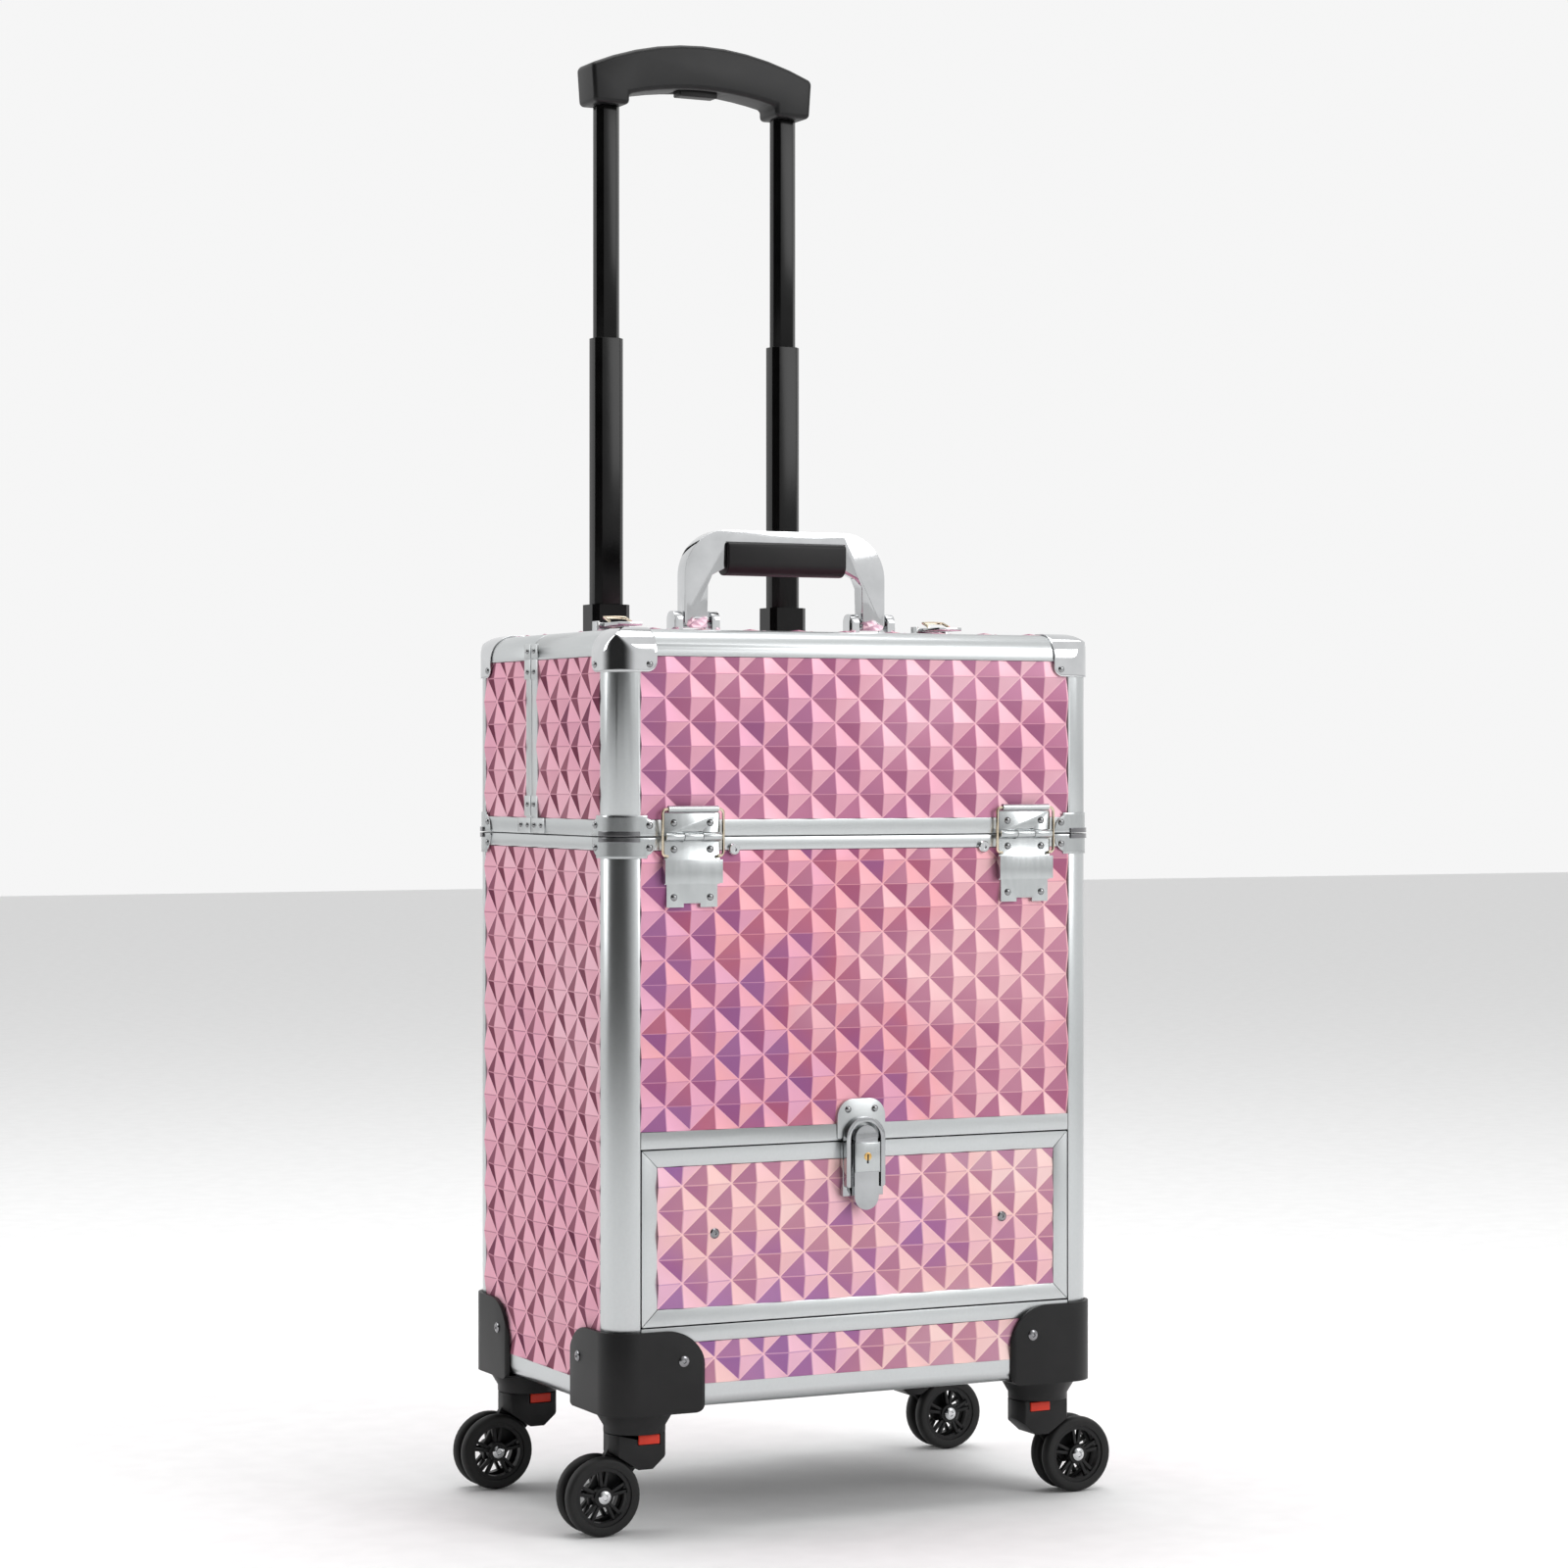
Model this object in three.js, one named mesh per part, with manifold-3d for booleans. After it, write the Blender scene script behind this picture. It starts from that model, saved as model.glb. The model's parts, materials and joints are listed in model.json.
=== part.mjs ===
// Rolling makeup train case: aluminium-framed box on four twin-wheel casters, with a front
// lid half, a fixed rear half, a drawer, a carry handle and a two-stage trolley handle.
// Millimetres, +Z up, front face towards -Y. Built about the middle of the case, then moved
// so that the middle of its lowest level is the origin.
import * as THREE from 'three';
import { mergeVertices } from 'three/addons/utils/BufferGeometryUtils.js';
import Module from 'manifold-3d';

const wasm = await Module();
wasm.setup();

// ---- driving dimensions ----
const WIDTH = 360;
const DEPTH = 240;
const BOTTOM = 82.5; // underside of the case
const SEAM = 455; // where the lid halves meet the base
const TOP = 590.5; // top of the lid halves
const SPLIT = 16; // y of the joint between the two lid halves
const GAP = 0.3; // between touching pieces
const EDGE = 20; // visible width of an edge profile
const EDGE_RADIUS = 18;
const SKIN = 1.5; // how far the panels lie behind the profiles
const PANEL = 3;
const RIM = 9;
const BOTTOM_RAIL = 15.5;
const DRAWER_LOW = 137;
const DRAWER_HIGH = 251.5;
const UPPER_RAIL = 11;
const LOWER_RAIL = 10.5;
const DRAWER_RAIL_GAP = 0.9;
const WHEEL_RADIUS = 26;
const SWIVEL_INSET = 28; // swivel axis from the case's side and front
const TRAIL = 26; // wheel axle behind the swivel axis
const HINGE_X = 124.3;
const HINGE_WIDTH = 39.6;
const BARREL_RADIUS = 2.9;
const LATCH_X = 123;
const HANDLE_Y = -2;
const HANDLE_PIVOT = 601;
const TUBE_X = 70.6;
const TUBE_Y = 141;
const OUTER_TOP = 616;
const MIDDLE_TOP = 808;
const GRIP_LOW = 975;
const GRIP_HIGH = 1022;

const LEFT = -WIDTH / 2;
const FRONT = -DEPTH / 2;
const BACK = DEPTH / 2;
const INNER_X = WIDTH / 2 - EDGE - GAP; // half width of a panel between two posts
const INNER_Y = DEPTH / 2 - EDGE - GAP;

const satin = { color: 0xd4d7d9, roughness: 0.4, metalness: 0.9 };
const chrome = { color: 0xe4e6e8, roughness: 0.1, metalness: 1 };
const pink = { color: 0xcf9ab4, roughness: 0.3, metalness: 0.5 };
const black = { color: 0x18181a, roughness: 0.5, metalness: 0 };
const red = { color: 0xd9301c, roughness: 0.4, metalness: 0 };
const lining = { color: 0x2a2a2e, roughness: 0.9, metalness: 0 };

const object = new THREE.Group();

// ---- shape helpers ----
function place(geometry, x, y, z) {
  return geometry.translate(x, y, z);
}

// A box given by its lowest and highest corners.
function block(x0, y0, z0, x1, y1, z1) {
  const geometry = new THREE.BoxGeometry(x1 - x0, y1 - y0, z1 - z0);
  return place(geometry, (x0 + x1) / 2, (y0 + y1) / 2, (z0 + z1) / 2);
}

// A closed outline from a list of [x, y] corners.
function outline(corners) {
  return new THREE.Shape(corners.map(([x, y]) => new THREE.Vector2(x, y)));
}

// An outline drawn in X and Y, raised from z0 to z1.
function raise(shape, z0, z1, curveSegments = 6) {
  const options = { depth: z1 - z0, bevelEnabled: false, curveSegments };
  return place(new THREE.ExtrudeGeometry(shape, options), 0, 0, z0);
}

// An outline drawn in X and Z, swept along Y from y0 to y1.
function sweepY(shape, y0, y1, curveSegments = 6) {
  const geometry = raise(shape, 0, y1 - y0, curveSegments);
  return place(geometry.rotateX(Math.PI / 2), 0, y1, 0);
}

// An outline drawn in Y and Z, swept along X from x0 to x1.
function sweepX(shape, x0, x1, curveSegments = 6) {
  const geometry = raise(shape, 0, x1 - x0, curveSegments);
  return place(geometry.rotateX(Math.PI / 2).rotateZ(Math.PI / 2), x0, 0, 0);
}

function rodX(radius, x0, x1, y, z, sides = 14) {
  const geometry = new THREE.CylinderGeometry(radius, radius, x1 - x0, sides);
  return place(geometry.rotateZ(Math.PI / 2), (x0 + x1) / 2, y, z);
}

function rodZ(radius, z0, z1, x = 0, y = 0, sides = 24) {
  const geometry = new THREE.CylinderGeometry(radius, radius, z1 - z0, sides);
  return place(geometry.rotateX(Math.PI / 2), x, y, (z0 + z1) / 2);
}

// A rectangle with a radius for each corner: low-left, low-right, high-right, high-left.
function roundedRectangle(x0, y0, x1, y1, [a, b, c, d]) {
  const shape = new THREE.Shape();
  shape.moveTo(x0 + a, y0);
  shape.lineTo(x1 - b, y0);
  if (b > 0) shape.absarc(x1 - b, y0 + b, b, -Math.PI / 2, 0, false);
  shape.lineTo(x1, y1 - c);
  if (c > 0) shape.absarc(x1 - c, y1 - c, c, 0, Math.PI / 2, false);
  shape.lineTo(x0 + d, y1);
  if (d > 0) shape.absarc(x0 + d, y1 - d, d, Math.PI / 2, Math.PI, false);
  shape.lineTo(x0, y0 + a);
  if (a > 0) shape.absarc(x0 + a, y0 + a, a, Math.PI, Math.PI * 1.5, false);
  return shape;
}

// ---- joining and cutting ----
function solid(geometry) {
  const bare = geometry.clone();
  bare.deleteAttribute('normal');
  bare.deleteAttribute('uv');
  const merged = mergeVertices(bare, 1e-4);
  return new wasm.Manifold(new wasm.Mesh({
    numProp: 3,
    vertProperties: new Float32Array(merged.attributes.position.array),
    triVerts: new Uint32Array(merged.index.array),
  }));
}

function surface(manifold) {
  const mesh = manifold.getMesh();
  const geometry = new THREE.BufferGeometry();
  geometry.setAttribute('position', new THREE.BufferAttribute(mesh.vertProperties, 3));
  geometry.setIndex(new THREE.BufferAttribute(mesh.triVerts, 1));
  geometry.computeVertexNormals();
  return geometry;
}

function join(...geometries) {
  return surface(geometries.map(solid).reduce((all, next) => all.add(next)));
}

function cut(geometry, ...tools) {
  return surface(tools.map(solid).reduce((left, tool) => left.subtract(tool), solid(geometry)));
}

function common(...geometries) {
  return surface(geometries.map(solid).reduce((all, next) => all.intersect(next)));
}

function add(name, geometry, look, parent = object) {
  const mesh = new THREE.Mesh(geometry, new THREE.MeshStandardMaterial(look));
  mesh.name = name;
  parent.add(mesh);
  return mesh;
}

// ---- base: profiles and panels ----

// Plan outline of the front-left post: a quarter round with a flange along each face.
function postOutline() {
  const wall = 2.2;
  const shape = new THREE.Shape();
  shape.moveTo(EDGE, 0);
  shape.lineTo(EDGE, wall);
  shape.lineTo(EDGE_RADIUS, wall);
  shape.absarc(EDGE_RADIUS, EDGE_RADIUS, EDGE_RADIUS - wall, -Math.PI / 2, -Math.PI, true);
  shape.lineTo(wall, EDGE);
  shape.lineTo(0, EDGE);
  shape.lineTo(0, EDGE_RADIUS);
  shape.absarc(EDGE_RADIUS, EDGE_RADIUS, EDGE_RADIUS, Math.PI, Math.PI * 1.5, false);
  return shape;
}

function posts() {
  const low = BOTTOM + BOTTOM_RAIL + GAP;
  const high = SEAM - RIM - GAP;
  const turns = { front_left: 0, front_right: 1, rear_right: 2, rear_left: 3 };
  for (const [corner, quarter] of Object.entries(turns)) {
    const x = corner.endsWith('left') ? LEFT : -LEFT;
    const y = corner.startsWith('front') ? FRONT : BACK;
    const geometry = raise(postOutline(), low, high, 8);
    add(`${corner}_post`, place(geometry.rotateZ(quarter * Math.PI / 2), x, y, 0), satin);
  }
}

// A rectangular ring rail round the whole case.
function ringRail(z0, z1, inset) {
  const r = EDGE_RADIUS;
  const shape = roundedRectangle(LEFT, FRONT, -LEFT, BACK, [r, r, r, r]);
  shape.holes.push(new THREE.Path([
    [LEFT + inset, FRONT + inset], [LEFT + inset, BACK - inset],
    [-LEFT - inset, BACK - inset], [-LEFT - inset, FRONT + inset],
  ].map(([x, y]) => new THREE.Vector2(x, y))));
  return raise(shape, z0, z1, 6);
}

function rails() {
  add('base_rim', ringRail(SEAM - RIM, SEAM - GAP, 10), satin);
  add('bottom_frame', ringRail(BOTTOM, BOTTOM + BOTTOM_RAIL, 14), satin);
  const upper = DRAWER_HIGH + DRAWER_RAIL_GAP;
  const rail = block(-INNER_X, FRONT, upper, INNER_X, FRONT + 8, upper + UPPER_RAIL);
  const keeper = sweepY(roundedRectangle(-17.8, upper + 1.1, 17.8, upper + 27.5, [1, 1, 12, 12]),
    FRONT - 1.8, FRONT + 0.6);
  const boss = block(-6, FRONT - 2.6, upper + 3, 6, FRONT - 1, upper + 8);
  add('drawer_upper_rail', join(rail, keeper, boss), satin);
  const lower = DRAWER_LOW - DRAWER_RAIL_GAP;
  add('drawer_lower_rail',
    block(-INNER_X, FRONT, lower - LOWER_RAIL, INNER_X, FRONT + 8, lower), satin);
}

function panels() {
  const low = BOTTOM + BOTTOM_RAIL + GAP;
  const high = SEAM - RIM - GAP;
  const outside = FRONT + SKIN;
  const frontLow = DRAWER_HIGH + DRAWER_RAIL_GAP + UPPER_RAIL + GAP;
  const kickHigh = DRAWER_LOW - DRAWER_RAIL_GAP - LOWER_RAIL - GAP;
  add('front_panel', block(-INNER_X, outside, frontLow, INNER_X, outside + PANEL, high), pink);
  add('kick_panel', block(-INNER_X, outside, low, INNER_X, outside + PANEL, kickHigh), pink);
  add('rear_panel', block(-INNER_X, BACK - SKIN - PANEL, low, INNER_X, BACK - SKIN, high), pink);
  const side = LEFT + SKIN;
  add('left_side_panel', block(side, -INNER_Y, low, side + PANEL, INNER_Y, high), pink);
  add('right_side_panel', block(-side - PANEL, -INNER_Y, low, -side, INNER_Y, high), pink);
  const inset = 14 + GAP;
  add('base_floor', block(LEFT + inset, FRONT + inset, BOTTOM + 2, -LEFT - inset, BACK - inset,
    BOTTOM + 7), lining);
  const shelf = DRAWER_HIGH + 4;
  add('drawer_shelf', block(-INNER_X + 2, FRONT + 9, shelf, INNER_X - 2, BACK - 6, shelf + 4),
    lining);
}

// ---- lid halves ----

// Outer block of a lid half: its outer long side and its top edges are rounded.
function lidBlock(front) {
  const y0 = front ? FRONT : SPLIT + GAP;
  const y1 = front ? SPLIT - GAP : BACK;
  const r = EDGE_RADIUS;
  const top = 16;
  const plan = roundedRectangle(LEFT, y0, -LEFT, y1, front ? [r, r, 0, 0] : [0, 0, r, r]);
  const face = roundedRectangle(LEFT, SEAM, -LEFT, TOP, [0, 0, top, top]);
  const side = roundedRectangle(y0, SEAM, y1, TOP, front ? [0, 0, 0, top] : [0, 0, top, 0]);
  return common(raise(plan, SEAM + GAP, TOP, 6), sweepY(face, y0, y1, 6),
    sweepX(side, LEFT, -LEFT, 6));
}

// The room inside a lid half, open below and at the split.
function lidRoom(front, inset) {
  const y0 = front ? FRONT + inset : SPLIT - 5;
  const y1 = front ? SPLIT + 5 : BACK - inset;
  return block(LEFT + inset, y0, SEAM - 5, -LEFT - inset, y1, TOP - inset);
}

// Windows of a lid frame, one for each panel; shrink leaves a gap round a panel.
function lidWindows(front, shrink, reach) {
  const low = SEAM + 11 + shrink;
  const high = TOP - 18 - shrink;
  const splitEdge = front ? SPLIT - 10 - shrink : SPLIT + 10 + shrink;
  const outerEdge = front ? FRONT + EDGE + shrink : BACK - EDGE - shrink;
  const y0 = Math.min(splitEdge, outerEdge);
  const y1 = Math.max(splitEdge, outerEdge);
  const half = WIDTH / 2 - EDGE - shrink;
  const sideX = WIDTH / 2 - reach[0];
  const inX = WIDTH / 2 - reach[1];
  const faceY = front ? [FRONT + reach[0], FRONT + reach[1]] : [BACK - reach[1], BACK - reach[0]];
  return [
    block(-half, faceY[0], low, half, faceY[1], high),
    block(-sideX, y0, low, -inX, y1, high),
    block(inX, y0, low, sideX, y1, high),
    block(-half, y0, TOP - reach[1], half, y1, TOP - reach[0]),
  ];
}

function lidHalf(name, front) {
  const thickness = 9;
  const liner = thickness + GAP;
  let frame = cut(lidBlock(front), lidRoom(front, thickness), ...lidWindows(front, 0, [-5, 15]));
  if (front) {
    const feet = [-LATCH_X, LATCH_X].map((x) => join(
      block(x - 13, SPLIT - 9, TOP - 2, x + 13, SPLIT - 1, TOP + 2),
      block(x - 13, SPLIT - 9, TOP, x - 10.6, SPLIT - 1, TOP + 9),
      block(x + 10.6, SPLIT - 9, TOP, x + 13, SPLIT - 1, TOP + 9),
    ));
    frame = join(frame, ...feet);
  }
  add(`${name}_frame`, frame, satin);
  const slack = block(LEFT, front ? FRONT : SPLIT + GAP, SEAM + GAP, -LEFT,
    front ? SPLIT - GAP : BACK, TOP);
  const walls = cut(common(lidRoom(front, liner), slack), lidRoom(front, liner + 2.5));
  add(`${name}_shell`, join(walls, ...lidWindows(front, GAP, [SKIN, liner + 1])), pink);
}

// ---- front hinges, each with a wire stay hung from its rolled top bar ----
function frontHinge(side, x) {
  const half = HINGE_WIDTH / 2;
  const inner = 6.5;
  const axisY = FRONT - 3.2;
  const plateBack = FRONT - GAP;
  const plateFront = FRONT - 2.2;
  const clear = BARREL_RADIUS + 0.6;
  const upper = join(
    block(x - half, plateFront, SEAM + clear, x + half, plateBack, SEAM + 15.5),
    block(x - half, plateFront, SEAM + 0.5, x - inner - 0.4, plateBack, SEAM + clear + 1),
    block(x + inner + 0.4, plateFront, SEAM + 0.5, x + half, plateBack, SEAM + clear + 1),
    rodX(BARREL_RADIUS, x - half, x - inner - 0.4, axisY, SEAM),
    rodX(BARREL_RADIUS, x + inner + 0.4, x + half, axisY, SEAM),
  );
  add(`${side}_hinge_upper_leaf`, upper, chrome);
  const notch = block(x - 6, plateFront - 1, SEAM - 47, x + 6, plateBack + 1, SEAM - 43.4);
  const lower = join(
    block(x - half, plateFront, SEAM - 31, x + half, plateBack, SEAM - clear),
    cut(block(x - half + 1.6, plateFront, SEAM - 46, x + half - 1.6, plateBack, SEAM - 29), notch),
    block(x - inner, plateFront, SEAM - clear - 1, x + inner, plateBack, SEAM - 0.5),
    rodX(BARREL_RADIUS, x - inner, x + inner, axisY, SEAM),
    block(x - half - 0.8, plateFront - 3.4, SEAM - 30.4, x + half + 0.8, plateFront + 1, SEAM - 15),
  );
  add(`${side}_hinge_lower_leaf`, lower, chrome);
  const barZ = SEAM + 18;
  const wireY = FRONT - 3.6;
  const legX = half + 2;
  add(`${side}_stay_wire`, join(
    rodX(2, x - legX, x + legX, wireY, barZ, 10),
    block(x - legX - 1, wireY - 1, SEAM - 13.6, x - legX + 1, wireY + 1, barZ),
    block(x + legX - 1, wireY - 1, SEAM - 13.6, x + legX + 1, wireY + 1, barZ),
    block(x - legX - 1, wireY - 1, SEAM - 13.6, x - legX + 4, wireY + 1, SEAM - 11.8),
    block(x + legX - 4, wireY - 1, SEAM - 13.6, x + legX + 1, wireY + 1, SEAM - 11.8),
  ), chrome);
}

// ---- top latch levers, which lie forward of the split ----
function latchLever(side, x) {
  const z = TOP + 6;
  add(`${side}_latch_lever`, join(
    rodX(2.4, x - 10.2, x + 10.2, SPLIT - 5, z, 12),
    block(x - 9, SPLIT - 36, z - 0.6, x + 9, SPLIT - 5, z + 1.8),
  ), chrome);
}

// ---- drawer ----
function drawer() {
  const half = INNER_X - 0.5;
  const face = 11;
  const low = DRAWER_LOW;
  const high = DRAWER_HIGH;
  add('drawer_frame', cut(
    block(-half, FRONT, low, half, FRONT + 3, high),
    block(-half + face, FRONT - 1, low + face, half - face, FRONT + 4, high - face),
  ), satin);
  const x = half - face - GAP;
  add('drawer_panel', block(-x, FRONT + 1, low + face + GAP, x, FRONT + 3, high - face - GAP),
    pink);
  const wide = 148;
  const rear = BACK - 25;
  const wall = 4;
  add('drawer_box', cut(
    block(-wide, FRONT + 3 + GAP, low + 3, wide, rear, high - 20),
    block(-wide + wall, FRONT + 3 + GAP + wall, low + 7, wide - wall, rear - wall, high),
  ), lining);
}

// The lock: a plate with an arched bail on the drawer, and a lever over it.
function drawerLock() {
  const high = DRAWER_HIGH;
  const plate = block(-15, FRONT - 4, high - 36, 15, FRONT - GAP, high - 1);
  const arch = roundedRectangle(-14.5, high - 30, 14.5, high + 16.5, [2, 2, 14, 14]);
  const hole = roundedRectangle(-11.2, high - 32, 11.2, high + 13.2, [2, 2, 11, 11]);
  const bail = cut(sweepY(arch, FRONT - 8.5, FRONT - 3.5), sweepY(hole, FRONT - 12, FRONT));
  add('drawer_lock_plate', join(plate, bail), chrome);
  const tongue = sweepY(roundedRectangle(-9, high - 45, 9, high - 15, [9, 9, 1, 1]),
    FRONT - 10, FRONT - 5.5, 5);
  const cap = sweepY(roundedRectangle(-8.2, high - 15, 8.2, high + 11, [1, 1, 8, 8]),
    FRONT - 10, FRONT - 5.5, 5);
  const cover = block(-9.4, FRONT - 11.5, high - 20, 9.4, FRONT - 7.5, high);
  add('drawer_lock_lever', join(tongue, cap, cover), chrome);
}

// ---- carry handle ----
function carryHandle() {
  const half = 77;
  const high = 663;
  const low = HANDLE_PIVOT - 5.5;
  const outer = roundedRectangle(-half, low, half, high, [5, 5, 32, 32]);
  const grip = 46;
  const leg = 60.2;
  const opening = outline([
    [-leg, low - 1], [leg, low - 1], [leg - 0.8, high - 38], [leg - 4, high - 31],
    [grip, high - 26], [grip, high - 8], [-grip, high - 8], [-grip, high - 26],
    [4 - leg, high - 31], [0.8 - leg, high - 38],
  ]);
  const bar = cut(
    sweepY(outer, HANDLE_Y - 6, HANDLE_Y + 6, 8),
    sweepY(opening, HANDLE_Y - 10, HANDLE_Y + 10),
    rodX(2.9, -half - 5, half + 5, HANDLE_Y, HANDLE_PIVOT, 14),
  );
  add('carry_handle_bar', bar, chrome);
  const end = grip - 0.6;
  add('carry_handle_grip', sweepX(
    roundedRectangle(HANDLE_Y - 9.5, high - 31, HANDLE_Y + 9.5, high - 8.3, [8, 8, 3, 3]),
    -end, end, 4), black);
  for (const [side, sign] of [['left', -1], ['right', 1]]) {
    const x = sign * (half - 9.2);
    const ear = (x0, x1) => sweepX(
      roundedRectangle(HANDLE_Y - 7, TOP + GAP, HANDLE_Y + 7, HANDLE_PIVOT + 6, [0, 0, 6, 6]),
      x0, x1, 4);
    add(`${side}_handle_bracket`, join(
      block(x - 17, HANDLE_Y - 7, TOP + GAP, x + 17, HANDLE_Y + 7, TOP + 1.8),
      ear(x - 17, x - 10.8),
      ear(x + 10.8, x + 17),
      rodX(2.5, x - 12, x + 12, HANDLE_Y, HANDLE_PIVOT, 14),
    ), chrome);
  }
}

// ---- trolley handle ----

// Eight-sided tube section: a rectangle with its corners cut off.
function tubeOutline(width, depth, corner) {
  const x = width / 2;
  const y = depth / 2;
  return [
    [corner - x, -y], [x - corner, -y], [x, corner - y], [x, y - corner],
    [x - corner, y], [corner - x, y], [-x, y - corner], [-x, corner - y],
  ];
}

function tube(width, depth, wall, z0, z1, x) {
  const shape = outline(tubeOutline(width, depth, 4));
  if (wall > 0) {
    const inside = tubeOutline(width - 2 * wall, depth - 2 * wall, 3.2);
    shape.holes.push(new THREE.Path(inside.map(([a, b]) => new THREE.Vector2(a, b))));
  }
  return place(raise(shape, z0, z1), x, TUBE_Y, 0);
}

function trolley() {
  for (const [side, sign] of [['left', -1], ['right', 1]]) {
    const x = sign * TUBE_X;
    const foot = (z) => block(x - 16, BACK + GAP, z, x + 16, TUBE_Y - 9.8, z + 26);
    add(`${side}_outer_tube`, join(
      tube(26, 22, 1.6, 104, OUTER_TOP, x), foot(108), foot(410),
    ), black);
    add(`${side}_middle_tube`, tube(22, 18, 1.6, 560, MIDDLE_TOP, x), black);
    add(`${side}_inner_tube`, tube(18, 14, 1.6, 760, GRIP_LOW - GAP, x), black);
  }
  const half = 88;
  const leg = 58;
  const shoulder = GRIP_HIGH - 19;
  const shape = new THREE.Shape();
  shape.moveTo(-half + 2, GRIP_LOW);
  shape.lineTo(-leg, GRIP_LOW);
  shape.lineTo(-leg, GRIP_LOW + 8);
  shape.quadraticCurveTo(0, GRIP_LOW + 22, leg, GRIP_LOW + 8);
  shape.lineTo(leg, GRIP_LOW);
  shape.lineTo(half - 2, GRIP_LOW);
  shape.lineTo(half, shoulder);
  shape.quadraticCurveTo(0, GRIP_HIGH + 19, -half, shoulder);
  const pocket = block(-15.4, TUBE_Y - 6.4, GRIP_LOW, 15.4, TUBE_Y + 6.4, GRIP_LOW + 24);
  add('trolley_grip', cut(sweepY(shape, TUBE_Y - 15, TUBE_Y + 15, 10), pocket), black);
  add('trolley_button', block(-15, TUBE_Y - 6, GRIP_LOW + 11, 15, TUBE_Y + 6, GRIP_LOW + 19),
    black);
}

// ---- casters ----

// Corner guard with the caster socket, for the front-left corner with the corner at 0, 0.
function cornerGuard() {
  const proud = 3;
  const reach = 66;
  const high = 134;
  const low = BOTTOM - 2.5;
  const r = EDGE_RADIUS + proud;
  const plan = raise(roundedRectangle(-proud, -proud, reach, reach, [r, 4, 30, 4]), low, high, 6);
  const face = roundedRectangle(-proud - 1, low, reach, high, [0, 8, 28, 0]);
  const inside = raise(
    roundedRectangle(-GAP, -GAP, reach + 9, reach + 9, [EDGE_RADIUS + GAP, 0, 0, 0]),
    BOTTOM - GAP, high + 9, 6);
  const guard = cut(
    common(plan, sweepY(face, -9, reach + 9, 6), sweepX(face, -9, reach + 9, 6)), inside);
  const profile = [[0, 66], [20.5, 66], [20.5, 70], [27, low + 1], [0, low + 1]];
  const socket = new THREE.LatheGeometry(profile.map(([x, y]) => new THREE.Vector2(x, y)), 20);
  socket.rotateX(Math.PI / 2);
  return cut(
    join(guard, place(socket, SWIVEL_INSET, SWIVEL_INSET, 0)),
    rodZ(6.4, 60, 76, SWIVEL_INSET, SWIVEL_INSET, 16),
  );
}

// Swivel fork about its own axis at 0, 0; the wheels trail towards the given side.
function fork(side) {
  const half = 12;
  const trailing = (corners) => outline(corners.map(([x, z]) => [-side * x, z]));
  const body = trailing([[-20, 65.5], [-20, 54], [-2, 42], [8, 42], [20.5, 53], [20.5, 65.5]]);
  const web = trailing([[-18, 60], [-33, 30], [-33, 20], [-19, 20], [2, 44], [6, 60]]);
  const bore = new THREE.CylinderGeometry(2.9, 2.9, 40, 14);
  bore.translate(side * TRAIL, 0, WHEEL_RADIUS);
  return cut(
    join(
      common(sweepY(body, -half, half), rodZ(20.4, 40, 65.7)),
      cut(sweepY(web, -2.2, 2.2), bore),
      rodZ(6, 60, 75, 0, 0, 16),
    ),
    releaseTab(side, GAP, 2),
    bore,
  );
}

// Red tab in the front of the fork; grow and deepen make the pocket that it slides in.
function releaseTab(side, grow, deepen) {
  const x = -side * 5;
  return block(x - 7.5 - grow, -13, 58.5 - grow, x + 7.5 + grow, -10.4 + deepen, 64.7 + grow);
}

// Two wheels on one axle along Y.
function wheelPair() {
  const r = WHEEL_RADIUS;
  const half = [[0, -13], [4, -13], [4, -11.7], [r - 1.2, -11.7], [r, -10.4], [r, -4.4],
    [r - 1.2, -3.1], [2.5, -3.1]];
  const points = [...half, ...half.toReversed().map(([x, y]) => [x, -y])];
  return new THREE.LatheGeometry(points.map(([x, y]) => new THREE.Vector2(x, y)), 20);
}

function caster(corner, signX, signY) {
  const quarter = { front_left: 0, front_right: 1, rear_right: 2, rear_left: 3 }[corner];
  add(`${corner}_corner_guard`, place(cornerGuard().rotateZ(quarter * Math.PI / 2),
    signX * WIDTH / 2, signY * DEPTH / 2, 0), black);
  const swivel = new THREE.Group();
  swivel.position.set(signX * (WIDTH / 2 - SWIVEL_INSET), signY * (DEPTH / 2 - SWIVEL_INSET), 0);
  object.add(swivel);
  add(`${corner}_fork`, fork(signX), black, swivel);
  const wheels = add(`${corner}_wheels`, wheelPair(), black, swivel);
  wheels.position.set(signX * TRAIL, 0, WHEEL_RADIUS);
  add(`${corner}_release_tab`, releaseTab(signX, 0, 0), red, swivel);
}

// ---- assembly ----
posts();
rails();
panels();
lidHalf('front_lid', true);
lidHalf('rear_section', false);
for (const [side, sign] of [['left', -1], ['right', 1]]) {
  frontHinge(side, sign * HINGE_X);
  latchLever(side, sign * LATCH_X);
}
drawer();
drawerLock();
carryHandle();
trolley();
caster('front_left', -1, -1);
caster('front_right', 1, -1);
caster('rear_right', 1, 1);
caster('rear_left', -1, 1);

object.updateMatrixWorld(true);
const bounds = new THREE.Box3().setFromObject(object);
const middle = bounds.getCenter(new THREE.Vector3());
object.position.set(-middle.x, -middle.y, -bounds.min.z);
object.updateMatrixWorld(true);

export default object;
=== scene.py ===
import json
import math
import random

import bmesh
import bpy
from mathutils import Matrix, Vector


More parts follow.
